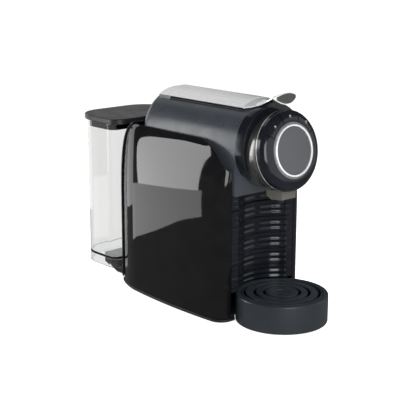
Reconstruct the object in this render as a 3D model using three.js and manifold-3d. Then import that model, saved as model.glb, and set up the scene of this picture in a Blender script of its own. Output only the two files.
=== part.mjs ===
// Pod coffee machine: slim body between two glossy side panels, a barrel-shaped top with a lift-up
// lever, a tilted round dial with three push buttons, a ribbed capsule drawer behind the cup space,
// a round drip tray and a clear water tank docked behind the body.
// Millimetres. +Z is up, -Y is the front (dial side), +X is on the right of someone facing the dial.
// The origin is on the table, under the middle of the machine.

import * as THREE from 'three';
import { mergeVertices } from 'three/addons/utils/BufferGeometryUtils.js';
import Module from 'manifold-3d';

const wasm = await Module();
wasm.setup();

// ---- driving dimensions -------------------------------------------------------------------------

const GAP = 0.3;                 // clearance between neighbouring pieces

const BODY_FRONT = -106;         // front face of the body
const BODY_REAR = 112;           // rear wall
const BODY_HALF = 73.4;          // half width at the widest place
const BODY_WIDEST_Y = -35;
const SIDE_RADIUS = 862;         // plan curve of the sides
const FRONT_CORNER = 18;
const REAR_CORNER = 10;
const REAR_ROUND_START = 60;     // behind this the sides curve in faster
const REAR_ROUND_RADIUS = 118;
const SHOULDER_START = 120;      // above this height the sides curve in
const BODY_TOP = 224;            // height at which the side curve closes
const TOP_HALF = 53;             // half width at the top edge of the panels
const REAR_CURVE_START = 150;    // above this height the rear wall curves forward
const REAR_TOP_Y = 79;
const SHELL = 2.6;               // wall thickness of the mouldings
const PANEL_INNER = 53.8;        // inner cut of the side panels
const PANEL_BOTTOM = 5.5;
const ARCH_RADIUS = 55;          // rounded upper front corner of a side panel
const ARCH_Y = -55;
const ARCH_Z = 168;

const BARREL_RADIUS = 51.4;      // barrel-shaped top cover, along Y
const BARREL_Z = 215.6;
const BARREL_END = 70;
const BARREL_FILLET = 14;
const COVER_SKIRT = 211;         // lower edge of the cover between the panels
const HEAD_BOTTOM = 158;         // underside of the head above the cup space
const HEAD_SIDE_REAR = -50;      // where the straight head sides end, behind the arch

const COLLAR_FRONT = -121.5;
const COLLAR_REAR = -107.8;
const COLLAR_RADIUS = 51.7;

const DIAL_TILT = THREE.MathUtils.degToRad(9);
const DIAL_Y = -145.9;
const DIAL_Z = 213.6;
const BEZEL_RADIUS = 48.4;
const BEZEL_BORE = 34;
const BEZEL_HEIGHT = 8.5;
const BEZEL_DEPTH = 6;
const DRUM_RADIUS = 46.6;
const BUTTON_INNER = 35.8;
const BUTTON_OUTER = 46.2;
const BUTTON_SPAN = 40;          // degrees of the dial taken by each button

const SPOUT_FRONT = -148;
const SPOUT_HALF = 12;
const SPOUT_Y = -133;

const TRAY_Y = -140;
const TRAY_RADIUS = 57;
const TRAY_BOTTOM = 1.5;
const TRAY_TOP = 36.6;
const TRAY_WALL = 4;
const GRILLE_RADIUS = 50;
const GRILLE_GROOVES = [46.2, 33.5, 22];
const GRILLE_SLOT = 3.6;

const RECESS_RADIUS = 54;        // concave front of the capsule drawer, about the tray's axis
const DRAWER_HALF = 53.3;
const DRAWER_BOTTOM = 38;
const DRAWER_TOP = 140;
const RIB_PITCH = 7;
const RIB_DEPTH = 0.9;
const BIN_HALF = 38;
const BIN_REAR = -10;
const BIN_TOP = 128;

const SLOT_FRONT = -72;          // capsule slot in the cover and the brew chamber
const SLOT_REAR = -42;
const SLOT_HALF = 22;

const HINGE_Y = 46;
const HINGE_Z = 261.5;
const HINGE_NOSE = 10.3;         // the lever's round rear end, about the hinge axis
const WELL_HALF = 30.4;          // the cover's well around the lever's rear end
const EAR_HALF = 6;              // the cover's ear that holds the hinge pin
const PIN_RADIUS = 2.5;
const LEVER_HALF = 29.5;
const LEVER_FRONT = -98;
const LEVER_CROWN_RADIUS = 47.4;
const LEVER_CROWN_Z = 224.9;

// The lever's tip, from the plate to the finger grip: y and z along the middle, the half width, y and
// z along the edge, and the depth in the middle. The last station is the leaf-shaped front face.
const TIP_STATIONS = [
  { midY: -98.3, midZ: 271.9, half: 29.3, edgeY: -98.3, edgeZ: 262.6, depth: 1.8 },
  { midY: -104, midZ: 271.2, half: 25.5, edgeY: -105, edgeZ: 263.9, depth: 1.8 },
  { midY: -111, midZ: 271, half: 19.5, edgeY: -113, edgeZ: 266.2, depth: 1.8 },
  { midY: -121, midZ: 273, half: 18, edgeY: -122, edgeZ: 270.2, depth: 1.8 },
  { midY: -131, midZ: 277.2, half: 18, edgeY: -131, edgeZ: 275, depth: 2.4 },
  { midY: -139, midZ: 281.4, half: 19, edgeY: -136.5, edgeZ: 278, depth: 7 },
  { midY: -143, midZ: 283, half: 20, edgeY: -138.5, edgeZ: 277.2, depth: 15 },
];
const TIP_EDGE_DEPTH = 1.4;

const TANK_FRONT = 115;
const TANK_REAR = 193;
const TANK_HALF = 62;
const TANK_CORNER = 35;
const TANK_FRONT_CORNER = 12;
const TANK_WALL = 2.2;
const TANK_SKIRT = 18;
const TANK_FLOOR = 30;
const TANK_TOP = 218;
const LID_TOP = 225.5;
const LID_OVERHANG = 4;
const LID_FRONT = 102.4;
const VALVE_Y = 135;             // the tank's outlet valve and its seat in the dock
const DOCK_LEFT = -45;
const DOCK_RIGHT = 33;
const DOCK_REAR = 158;
const DOCK_BOTTOM = 7;
const DOCK_TOP = 17.4;
const INLET_Z = 12.6;

// ---- solid helpers ------------------------------------------------------------------------------

// Merge equal corners and drop the triangles that a pole or a seam has collapsed.
function weld(geometry) {
  const bare = geometry.clone();
  bare.deleteAttribute('normal');
  bare.deleteAttribute('uv');
  const merged = mergeVertices(bare, 1e-4);
  const source = merged.index.array;
  const kept = [];
  for (let i = 0; i < source.length; i += 3) {
    const [a, b, c] = [source[i], source[i + 1], source[i + 2]];
    if (a !== b && b !== c && c !== a) kept.push(a, b, c);
  }
  merged.setIndex(kept);
  return merged;
}

function signedVolume(points, index) {
  let sum = 0;
  const corner = (i) => new THREE.Vector3().fromArray(points, index[i] * 3);
  for (let i = 0; i < index.length; i += 3) {
    sum += corner(i).dot(corner(i + 1).cross(corner(i + 2)));
  }
  return sum;
}

function toSolid(geometry) {
  const merged = weld(geometry);
  const vertProperties = Float32Array.from(merged.attributes.position.array);
  const triVerts = Uint32Array.from(merged.index.array);
  if (signedVolume(vertProperties, triVerts) < 0) triVerts.reverse();
  return new wasm.Manifold(new wasm.Mesh({ numProp: 3, vertProperties, triVerts }));
}

function toGeometry(solid) {
  const mesh = solid.getMesh();
  const geometry = new THREE.BufferGeometry();
  geometry.setAttribute('position', new THREE.BufferAttribute(mesh.vertProperties, 3));
  geometry.setIndex(new THREE.BufferAttribute(mesh.triVerts, 1));
  return geometry;
}

function combine(method, first, others) {
  let solid = toSolid(first);
  for (const other of others) solid = solid[method](toSolid(other));
  return toGeometry(solid);
}

const cut = (first, ...others) => combine('subtract', first, others);
const join = (first, ...others) => combine('add', first, others);
const common = (first, ...others) => combine('intersect', first, others);

function box(x0, x1, y0, y1, z0, z1) {
  const geometry = new THREE.BoxGeometry(x1 - x0, y1 - y0, z1 - z0);
  return geometry.translate((x0 + x1) / 2, (y0 + y1) / 2, (z0 + z1) / 2);
}

function rodX(radius, x0, x1, y, z, sides = 32) {
  const geometry = new THREE.CylinderGeometry(radius, radius, x1 - x0, sides);
  return geometry.rotateZ(-Math.PI / 2).translate((x0 + x1) / 2, y, z);
}

function rodY(radius, y0, y1, x, z, sides = 32) {
  const geometry = new THREE.CylinderGeometry(radius, radius, y1 - y0, sides);
  return geometry.translate(x, (y0 + y1) / 2, z);
}

function rodZ(radius, z0, z1, x, y, sides = 32) {
  const geometry = new THREE.CylinderGeometry(radius, radius, z1 - z0, sides);
  return geometry.rotateX(Math.PI / 2).translate(x, y, (z0 + z1) / 2);
}

function toShape(points) {
  return new THREE.Shape(points.map(([u, v]) => new THREE.Vector2(u, v)));
}

// An outline of (y, z) points, extruded along X.
function prismX(points, x0, x1) {
  const geometry = new THREE.ExtrudeGeometry(toShape(points), { depth: x1 - x0, bevelEnabled: false });
  const turn = new THREE.Matrix4().makeBasis(
    new THREE.Vector3(0, 1, 0), new THREE.Vector3(0, 0, 1), new THREE.Vector3(1, 0, 0));
  return geometry.applyMatrix4(turn).translate(x0, 0, 0);
}

// An outline of (x, z) points, extruded along Y.
function prismY(points, y0, y1) {
  const geometry = new THREE.ExtrudeGeometry(toShape(points), { depth: y1 - y0, bevelEnabled: false });
  return geometry.rotateX(Math.PI / 2).translate(0, y1, 0);
}

// An outline of (x, y) points, extruded along Z.
function prismZ(points, z0, z1) {
  const geometry = new THREE.ExtrudeGeometry(toShape(points), { depth: z1 - z0, bevelEnabled: false });
  return geometry.translate(0, 0, z0);
}

// A closed (radius, height) profile turned about a vertical axis.
function turnZ(profile, segments = 48) {
  const points = profile.map(([r, z]) => new THREE.Vector2(r, z));
  return new THREE.LatheGeometry(points, segments).rotateX(Math.PI / 2);
}

// A closed (radius, y) profile turned about an axis along Y.
function turnY(profile, z, segments = 48) {
  const points = profile.map(([r, y]) => new THREE.Vector2(r, y));
  return new THREE.LatheGeometry(points, segments).translate(0, 0, z);
}

// A ring section, closed on itself.
function ring(inner, outer, z0, z1, segments = 48) {
  return turnZ([[inner, z0], [outer, z0], [outer, z1], [inner, z1], [inner, z0]], segments);
}

// Points on an arc, angles in degrees, both ends included.
function arc(cx, cy, rx, ry, from, to, steps) {
  const points = [];
  for (let i = 0; i <= steps; i += 1) {
    const angle = THREE.MathUtils.degToRad(from + (to - from) * i / steps);
    points.push([cx + rx * Math.cos(angle), cy + ry * Math.sin(angle)]);
  }
  return points;
}

// A solid through a stack of rings with equally many points, closed by flat ends.
function loft(rings) {
  const positions = rings.flat(2);
  const count = rings[0].length;
  const index = [];
  for (let level = 0; level + 1 < rings.length; level += 1) {
    for (let i = 0; i < count; i += 1) {
      const a = level * count + i;
      const b = level * count + (i + 1) % count;
      index.push(a, b, b + count, a, b + count, a + count);
    }
  }
  const cap = THREE.ShapeUtils.triangulateShape(rings[0].map(([x, y]) => new THREE.Vector2(x, y)), []);
  const last = (rings.length - 1) * count;
  for (const [a, b, c] of cap) {
    index.push(c, b, a, last + a, last + b, last + c);
  }
  const geometry = new THREE.BufferGeometry();
  geometry.setAttribute('position', new THREE.Float32BufferAttribute(positions, 3));
  geometry.setIndex(index);
  return geometry;
}

// A solid between two grids of points that lie one above the other.
function slab(top, bottom) {
  const rows = top.length;
  const count = top[0].length;
  const size = rows * count;
  const index = [];
  const quad = (a, b, c, d) => index.push(a, b, c, a, c, d);
  for (let row = 0; row + 1 < rows; row += 1) {
    for (let i = 0; i + 1 < count; i += 1) {
      const a = row * count + i;
      quad(a, a + 1, a + count + 1, a + count);
      quad(size + a, size + a + count, size + a + count + 1, size + a + 1);
    }
    const left = row * count;
    const right = left + count - 1;
    quad(left, left + count, size + left + count, size + left);
    quad(right, size + right, size + right + count, right + count);
  }
  for (let i = 0; i + 1 < count; i += 1) {
    const last = (rows - 1) * count + i;
    quad(i, size + i, size + i + 1, i + 1);
    quad(last, last + 1, size + last + 1, size + last);
  }
  const geometry = new THREE.BufferGeometry();
  geometry.setAttribute('position', new THREE.Float32BufferAttribute([...top, ...bottom].flat(2), 3));
  geometry.setIndex(index);
  return geometry;
}

// A round tube of 8 sides along a smooth line through the given points.
function tube(radius, points, steps = 14) {
  const path = new THREE.CatmullRomCurve3(points.map((p) => new THREE.Vector3(...p)), false, 'centripetal');
  const section = toShape(arc(0, 0, radius, radius, 0, 315, 7));
  return new THREE.ExtrudeGeometry(section, { steps, extrudePath: path, bevelEnabled: false });
}

// ---- the body's outer form ----------------------------------------------------------------------

function sideHalf(y, z, inset) {
  const base = BODY_HALF - inset - (y - BODY_WIDEST_Y) ** 2 / (2 * SIDE_RADIUS);
  const rise = Math.max(0, z - SHOULDER_START) / (BODY_TOP - inset - SHOULDER_START);
  const rounding = Math.max(0, y - REAR_ROUND_START) ** 2 / (2 * REAR_ROUND_RADIUS);
  return TOP_HALF + (base - TOP_HALF) * Math.sqrt(Math.max(0, 1 - rise * rise)) - rounding;
}

// How far the side has turned in at a given y, in radians.
function sideTurn(y) {
  return Math.atan((y - BODY_WIDEST_Y) / SIDE_RADIUS + Math.max(0, y - REAR_ROUND_START) / REAR_ROUND_RADIUS);
}

function rearWall(z, inset) {
  const rise = Math.max(0, z - REAR_CURVE_START) / (BODY_TOP - inset - REAR_CURVE_START);
  return REAR_TOP_Y + (BODY_REAR - inset - REAR_TOP_Y) * Math.sqrt(Math.max(0, 1 - rise * rise));
}

// Plan outline of the body at one height, anticlockwise from the middle of the front.
function bodyRing(z, inset) {
  const front = BODY_FRONT + inset;
  const rear = rearWall(z, inset);
  const sideStart = front + FRONT_CORNER;
  const turn = sideTurn(rear - REAR_CORNER / 2);
  const sideEnd = rear - REAR_CORNER * (1 - Math.sin(turn));
  const half = [];
  const frontHalf = sideHalf(sideStart, z, inset);
  half.push(...arc(frontHalf - FRONT_CORNER, sideStart, FRONT_CORNER, FRONT_CORNER, -90, 0, 5));
  const sideSteps = 9;
  for (let i = 1; i < sideSteps; i += 1) {
    const y = sideStart + (sideEnd - sideStart) * i / sideSteps;
    half.push([sideHalf(y, z, inset), y]);
  }
  const rearHalf = sideHalf(sideEnd, z, inset);
  half.push(...arc(rearHalf - REAR_CORNER * Math.cos(turn), rear - REAR_CORNER, REAR_CORNER, REAR_CORNER,
    THREE.MathUtils.radToDeg(turn), 90, 3));
  const mirrored = half.map(([x, y]) => [-x, y]).reverse();
  return [...half, ...mirrored].map(([x, y]) => [x, y, z]);
}

// The whole body as a solid loaf; an inset gives the inside face of the shell.
function bodyLoaf(inset, bottom) {
  const height = BODY_TOP - inset - SHOULDER_START;
  const rings = [bodyRing(bottom, inset), bodyRing(SHOULDER_START, inset)];
  for (let angle = 14; angle <= 84; angle += 10) {
    rings.push(bodyRing(SHOULDER_START + height * Math.sin(THREE.MathUtils.degToRad(angle)), inset));
  }
  return loft(rings);
}

const bodyShell = cut(bodyLoaf(0, PANEL_BOTTOM), bodyLoaf(SHELL, 0));

// Side view of a panel: straight bottom and rear, flat top and one large rounded front corner.
function panelOutline() {
  const far = BODY_REAR + 20;
  return [
    [BODY_FRONT - 6, PANEL_BOTTOM - 1], [far, PANEL_BOTTOM - 1], [far, BODY_TOP - 1],
    ...arc(ARCH_Y, ARCH_Z, ARCH_RADIUS, ARCH_RADIUS, 90, 180, 16),
  ];
}

function sidePanel(side) {
  const region = side > 0
    ? prismX(panelOutline(), PANEL_INNER, BODY_HALF + 5)
    : prismX(panelOutline(), -BODY_HALF - 5, -PANEL_INNER);
  return common(bodyShell, region);
}

function rearCover() {
  const half = PANEL_INNER - GAP;
  const region = box(-half, half, BARREL_END + 2 * GAP, BODY_REAR + 5, 9, BODY_TOP - 2);
  const pipeHole = rodY(4.4, BODY_REAR - 10, BODY_REAR + 5, 0, INLET_Z, 24);
  return cut(common(bodyShell, region), pipeHole);
}

// The tray's niche in the plan of the body.
const trayNiche = rodZ(TRAY_RADIUS + 0.8, -5, DRAWER_BOTTOM - GAP, 0, TRAY_Y, 64);

function basePlate() {
  const rim = 1.2;
  const outline = bodyRing(0, -rim).map(([x, y]) => [x, y]);
  const rearTrim = box(-90, 90, BODY_REAR, BODY_REAR + 10, -5, 20);
  const plate = cut(prismZ(outline, 2, 5.2), trayNiche, rearTrim);
  const inner = bodyRing(0, SHELL + GAP).map(([x, y]) => [x, y]);
  return join(plate, cut(prismZ(inner, 2, 8.5), trayNiche, rearTrim));
}

function foot(x, y) {
  return turnZ([[0, 0], [6.2, 0], [7, 0.6], [7, 1.7], [0, 1.7]], 24).translate(x, y, 0);
}

// ---- head and top cover -------------------------------------------------------------------------

function barrel(radius, front, end, fillet) {
  return turnY([
    [0, front], [radius, front],
    ...arc(radius - fillet, end - fillet, fillet, fillet, 0, 90, 4),
    [0, end],
  ], BARREL_Z, 56);
}

function topCover() {
  const front = COLLAR_REAR + GAP;
  const outer = join(
    cut(barrel(BARREL_RADIUS, front, BARREL_END, BARREL_FILLET), box(-80, 80, -130, 90, 100, COVER_SKIRT)),
    box(-BARREL_RADIUS, BARREL_RADIUS, front, HEAD_SIDE_REAR, HEAD_BOTTOM + SHELL + GAP, BARREL_Z));
  const innerRadius = BARREL_RADIUS - SHELL;
  const hollow = join(
    barrel(innerRadius, front - 5, BARREL_END - SHELL, BARREL_FILLET - SHELL),
    box(-innerRadius, innerRadius, front - 5, BARREL_END - BARREL_FILLET, 100, BARREL_Z));
  const shell = cut(outer, hollow);
  const solidBarrel = barrel(BARREL_RADIUS, front, BARREL_END, BARREL_FILLET);
  const wellLiner = common(solidBarrel,
    rodX(HINGE_NOSE + 4, -WELL_HALF - 2, WELL_HALF + 2, HINGE_Y, HINGE_Z));
  const slotLiner = common(solidBarrel,
    box(-SLOT_HALF - 2, SLOT_HALF + 2, SLOT_FRONT - 2, SLOT_REAR + 2, 246, 280));
  const well = join(
    rodX(HINGE_NOSE + 2 * GAP, -WELL_HALF, WELL_HALF, HINGE_Y, HINGE_Z),
    box(-WELL_HALF, WELL_HALF, HINGE_Y, HINGE_Y + HINGE_NOSE + 1.4, HINGE_Z, HINGE_Z + 20));
  const earRadius = PIN_RADIUS + 1.7;
  const earStem = box(-EAR_HALF, EAR_HALF, HINGE_Y - earRadius, HINGE_Y + earRadius,
    HINGE_Z - HINGE_NOSE - 2, HINGE_Z);
  const ear = join(rodX(earRadius, -EAR_HALF, EAR_HALF, HINGE_Y, HINGE_Z), earStem);
  const pinHole = rodX(PIN_RADIUS + GAP, -EAR_HALF - 2, EAR_HALF + 2, HINGE_Y, HINGE_Z, 24);
  const slot = box(-SLOT_HALF, SLOT_HALF, SLOT_FRONT, SLOT_REAR, 230, 290);
  const cover = cut(join(shell, wellLiner, slotLiner), well, slot);
  return cut(join(cover, ear), pinHole);
}

function frontFascia() {
  const front = COLLAR_REAR + GAP;
  const radius = BARREL_RADIUS - SHELL - GAP;
  const plate = prismY([
    [-radius, HEAD_BOTTOM], [radius, HEAD_BOTTOM], ...arc(0, BARREL_Z, radius, radius, 0, 180, 24),
  ], front, front + 2);
  const sill = box(-BARREL_RADIUS, BARREL_RADIUS, front, -84, HEAD_BOTTOM, HEAD_BOTTOM + SHELL);
  const window = rodY(20, front - 5, front + 10, 0, 200, 32);
  return cut(join(plate, sill), window);
}

// The ribbed strip between the drawer's top edge and the underside of the head.
function recessHeader() {
  const block = box(-DRAWER_HALF, DRAWER_HALF, BODY_FRONT, -80, DRAWER_TOP + GAP, HEAD_BOTTOM - GAP);
  return cut(block, recessTool(DRAWER_TOP - 4, HEAD_BOTTOM + 4));
}

const dialToWorld = new THREE.Matrix4().makeRotationX(Math.PI / 2 - DIAL_TILT)
  .setPosition(0, DIAL_Y, DIAL_Z);

function drumSolid(radius, rear) {
  return turnZ([[0, rear], [radius, rear], [radius, -BEZEL_DEPTH - GAP], [0, -BEZEL_DEPTH - GAP]], 56)
    .applyMatrix4(dialToWorld);
}

function headDrum() {
  const behind = box(-80, 80, COLLAR_REAR - GAP, 0, 100, 300);
  const bore = turnZ([[0, -60], [DRUM_RADIUS - 3, -60], [DRUM_RADIUS - 3, -BEZEL_DEPTH - 4],
    [0, -BEZEL_DEPTH - 4]], 48).applyMatrix4(dialToWorld);
  return cut(drumSolid(DRUM_RADIUS, -50), behind, bore);
}

function headCollar() {
  const humpRadius = 24;
  const humpTop = 268.4;
  const outer = join(
    rodY(COLLAR_RADIUS, COLLAR_FRONT, COLLAR_REAR, 0, BARREL_Z, 56),
    rodY(humpRadius, COLLAR_FRONT, COLLAR_REAR, 0, humpTop - humpRadius, 48));
  return cut(outer, drumSolid(DRUM_RADIUS + 0.4, -60));
}

// ---- dial, in its own frame: +Z out of the dial, +Y up its face, centre at the origin -------------

function bezelProfile() {
  return [
    [0, -BEZEL_DEPTH], [BEZEL_RADIUS, -BEZEL_DEPTH],
    ...arc(BEZEL_BORE, 0, BEZEL_RADIUS - BEZEL_BORE, BEZEL_HEIGHT, 0, 90, 5),
    [BEZEL_BORE, 5], [0, 5],
  ];
}

// A wedge of the ring between two radii; angles in degrees clockwise from the top of the dial.
function sector(inner, outer, from, to, z0, z1) {
  return prismZ([
    ...arc(0, 0, outer, outer, 90 - from, 90 - to, 10),
    ...arc(0, 0, inner, inner, 90 - to, 90 - from, 10),
  ], z0, z1);
}

function dialBezel() {
  const reach = 1.5 * BUTTON_SPAN + 0.5;
  const pocket = sector(BUTTON_INNER - 0.4, BUTTON_OUTER + 0.4, -reach, reach, -1.2, 20);
  return cut(turnZ(bezelProfile(), 56), pocket);
}

function dialButton(middleAngle) {
  const reach = BUTTON_SPAN / 2 - 0.5;
  const wedge = sector(BUTTON_INNER, BUTTON_OUTER, middleAngle - reach, middleAngle + reach, 0.8, 20);
  return common(turnZ(bezelProfile(), 56), wedge);
}

function dialRing() {
  return turnZ([[28.7, 5.3], [31.3, 5.3], [31.3, 9.9], [30, 10.6], [28.7, 9.9], [28.7, 5.3]]);
}

function indicatorRing() {
  return ring(31.6, BEZEL_BORE - GAP, 5.3, 9);
}

function dialDisc() {
  return turnZ([[0, 5.3], [28.4, 5.3], [28.4, 9.6], [0, 9.6]]);
}

// ---- spout --------------------------------------------------------------------------------------

function spoutHousing() {
  const side = [[-122, 168], [SPOUT_FRONT, 168], [SPOUT_FRONT, 155], [-130, 153], [-122, 157]];
  const bezelSpace = turnZ([[0, -BEZEL_DEPTH - 2], [BEZEL_RADIUS + 0.4, -BEZEL_DEPTH - 2],
    [BEZEL_RADIUS + 0.4, 10], [0, 10]], 56).applyMatrix4(dialToWorld);
  return cut(prismX(side, -SPOUT_HALF, SPOUT_HALF), drumSolid(DRUM_RADIUS + 0.4, -60), bezelSpace,
    rodZ(5.3, 140, 158, 0, SPOUT_Y, 24));
}

function spoutNozzle() {
  return turnZ([[0, 157.5], [5, 157.5], [5, 150], [3.6, 147], [2, 147], [2, 154], [0, 154]], 24)
    .translate(0, SPOUT_Y, 0);
}

// ---- drip tray, grille and capsule drawer -------------------------------------------------------

function dripTray() {
  const round = 2.2;
  const rimInner = TRAY_RADIUS - TRAY_WALL;
  return turnZ([
    [0, TRAY_BOTTOM], [TRAY_RADIUS - 1, TRAY_BOTTOM], [TRAY_RADIUS, TRAY_BOTTOM + 1],
    ...arc(TRAY_RADIUS - round, TRAY_TOP - round, round, round, 0, 90, 3),
    [GRILLE_RADIUS + 0.6, TRAY_TOP], [GRILLE_RADIUS + 0.6, TRAY_TOP - 3.6],
    [GRILLE_RADIUS - 2.2, TRAY_TOP - 3.6], [GRILLE_RADIUS - 2.2, TRAY_TOP - 6],
    [rimInner, TRAY_TOP - 9], [rimInner, TRAY_BOTTOM + 3], [0, TRAY_BOTTOM + 3],
  ]).translate(0, TRAY_Y, 0);
}

// A flat disc with three ring-shaped slots, bridged at four places, and a small dish in the middle.
function dripGrille() {
  const bottom = TRAY_TOP - 3.3;
  const disc = turnZ([
    [0, bottom], [GRILLE_RADIUS, bottom], [GRILLE_RADIUS, TRAY_TOP],
    [9, TRAY_TOP], [7, TRAY_TOP - 1.2], [0, TRAY_TOP - 1.6],
  ]);
  const bridges = [box(-60, 60, -2, 2, -50, TRAY_TOP - 1.4), box(-2, 2, -60, 60, -50, TRAY_TOP - 1.4)];
  const slots = GRILLE_GROOVES.map((radius) => cut(
    ring(radius - GRILLE_SLOT / 2, radius + GRILLE_SLOT / 2, bottom - 2, TRAY_TOP + 2, 40), ...bridges));
  return cut(disc, ...slots).translate(0, TRAY_Y, 0);
}

// The cup space as a cutter: a cylinder about the tray's axis with a rib at every pitch.
function recessTool(bottom, top) {
  const profile = [[0, bottom], [RECESS_RADIUS, bottom]];
  const first = Math.ceil((bottom - DRAWER_TOP) / RIB_PITCH);
  const last = Math.floor((top - DRAWER_TOP) / RIB_PITCH);
  for (let i = first; i <= last; i += 1) {
    const z = DRAWER_TOP + i * RIB_PITCH;
    if (z - 1.4 > bottom && z + 1.4 < top) {
      profile.push([RECESS_RADIUS, z - 1.4], [RECESS_RADIUS + RIB_DEPTH, z], [RECESS_RADIUS, z + 1.4]);
    }
  }
  profile.push([RECESS_RADIUS, top], [0, top]);
  return turnZ(profile, 44).translate(0, TRAY_Y, 0);
}

function drawerFront() {
  const block = box(-DRAWER_HALF, DRAWER_HALF, BODY_FRONT, -80, DRAWER_BOTTOM, DRAWER_TOP);
  const grooves = [DRAWER_TOP - 3 * RIB_PITCH, DRAWER_TOP - 6 * RIB_PITCH].map((z) =>
    box(-60, 60, BODY_FRONT - 1, BODY_FRONT + RIB_DEPTH, z - 0.8, z + 0.8));
  return cut(block, recessTool(DRAWER_BOTTOM - 5, DRAWER_TOP + 5), ...grooves);
}

function capsuleBin() {
  const wall = 2;
  const outer = box(-BIN_HALF, BIN_HALF, -80 + GAP, BIN_REAR, DRAWER_BOTTOM + 2, BIN_TOP);
  return cut(outer, box(-BIN_HALF + wall, BIN_HALF - wall, -80 + GAP + wall, BIN_REAR - wall,
    DRAWER_BOTTOM + 2 + wall, BIN_TOP + 10));
}

// ---- lever --------------------------------------------------------------------------------------

const leverCrown = rodY(LEVER_CROWN_RADIUS, -120, 80, 0, LEVER_CROWN_Z, 72);
const leverSlot = join(
  box(-EAR_HALF - 0.6, EAR_HALF + 0.6, HINGE_Y - 5, HINGE_Y + 20, HINGE_Z - 20, HINGE_Z + 5),
  rodX(5, -EAR_HALF - 0.6, EAR_HALF + 0.6, HINGE_Y, HINGE_Z));

function leverPlate() {
  const barrelTop = rodY(BARREL_RADIUS + 2.3, -130, 90, 0, BARREL_Z, 72);
  const top = cut(common(leverCrown, box(-LEVER_HALF, LEVER_HALF, LEVER_FRONT, HINGE_Y, 240, 290)), barrelTop);
  const nose = common(leverCrown, rodX(HINGE_NOSE, -LEVER_HALF, LEVER_HALF, HINGE_Y, HINGE_Z, 36));
  const pinHole = rodX(PIN_RADIUS + GAP, -LEVER_HALF + 1.9, LEVER_HALF - 1.9, HINGE_Y, HINGE_Z, 24);
  return cut(join(top, nose), leverSlot, pinHole);
}

function leverArm() {
  const outer = rodY(BARREL_RADIUS + 2, LEVER_FRONT, HINGE_Y - HINGE_NOSE - 1, 0, BARREL_Z, 72);
  const inner = rodY(BARREL_RADIUS + 0.5, -130, 90, 0, BARREL_Z, 72);
  return cut(common(outer, box(-LEVER_HALF - 1, LEVER_HALF + 1, -130, 90, 240, 290)), inner);
}

// The upturned finger grip: a sheet that narrows, rises and thickens to a leaf-shaped front face.
function leverTip() {
  const across = 8;
  const top = [];
  const bottom = [];
  for (const { midY, midZ, half, edgeY, edgeZ, depth } of TIP_STATIONS) {
    const upper = [];
    const lower = [];
    for (let i = 0; i <= across; i += 1) {
      const share = 2 * i / across - 1;
      const bow = share * share;
      const y = midY + (edgeY - midY) * bow;
      const z = midZ + (edgeZ - midZ) * bow;
      upper.push([half * share, y, z]);
      lower.push([half * share, y, z - depth + (depth - TIP_EDGE_DEPTH) * bow]);
    }
    top.push(upper);
    bottom.push(lower);
  }
  return slab(top, bottom);
}

function leverPin() {
  return rodX(PIN_RADIUS, -LEVER_HALF + 2.3, LEVER_HALF - 2.3, HINGE_Y, HINGE_Z, 24);
}

// ---- brew group, heater, pump and wiring --------------------------------------------------------

function brewChamber() {
  const outer = box(-28, 28, -86, -4, 168, 206);
  const inside = box(-SLOT_HALF - 0.5, SLOT_HALF + 0.5, SLOT_FRONT, 0, 160, 220);
  return cut(outer, inside);
}

function brewPiston() {
  const head = rodY(15, SLOT_REAR + 1, -24, 0, 187, 32);
  const guide = box(-SLOT_HALF, SLOT_HALF, -32, -22, 174, 200);
  const rod = rodY(5, -23, -8, 0, 187, 20);
  return join(head, guide, rod);
}

function thermoblock() {
  const block = box(-32, 32, 24, 80, 142, 178);
  const fins = [];
  for (let y = 32; y <= 72; y += 10) fins.push(box(-40, 40, y - 1.6, y + 1.6, 171, 190));
  return cut(block, ...fins);
}

const PUMP = { x: -24, z: 40 };

function pump() {
  return join(
    rodY(19, 14, 62, PUMP.x, PUMP.z, 32),
    rodY(11, 61, 76, PUMP.x, PUMP.z, 24),
    rodY(8, 2, 15, PUMP.x, PUMP.z, 24));
}

function pumpCradle() {
  const block = box(PUMP.x - 24, PUMP.x + 24, 22, 54, 8.8, 38);
  return cut(block, rodY(19 + GAP, 0, 80, PUMP.x, PUMP.z, 32));
}

const METER = { x: 26, y: 62 };

function flowMeter() {
  return join(rodZ(14, 60, 72, METER.x, METER.y, 28), rodZ(5, 52, 60.5, METER.x, METER.y, 20));
}

function controlBoard() {
  const board = box(50, 51.6, -6, 70, 60, 134);
  const relays = [16, 44].map((y) => box(38, 50.4, y - 8, y + 8, 96, 112));
  return join(board, ...relays);
}

function chassis() {
  const back = cut(box(-50, 44, 4, 6.4, 8.8, 150), rodY(9, 0, 10, PUMP.x, PUMP.z, 24));
  const shelf = box(-44, 44, 4, 84, 136, 139);
  return join(back, shelf);
}

function inletPipe() {
  return tube(3, [[0, 119, INLET_Z], [0, 98, INLET_Z + 0.3], [14, 76, 24], [METER.x, METER.y, 40], [METER.x, METER.y, 51.7]]);
}

function pumpPipe() {
  return tube(3, [[METER.x, METER.y, 72.5], [METER.x, METER.y, 80], [METER.x, 68, 90], [4, 82, 88], [PUMP.x, 84, 60],
    [PUMP.x, 84, PUMP.z + 6], [PUMP.x, 81, PUMP.z], [PUMP.x, 76.5, PUMP.z]]);
}

function boilerPipe() {
  return tube(2.4, [[0, 23.5, 160], [0, 18, 160], [14, 12, 166], [34, 2, 180], [38, -30, 188],
    [38, -66, 188], [34, -78, 188], [28.5, -78, 188]], 22);
}

// ---- water tank and dock ------------------------------------------------------------------------

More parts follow.
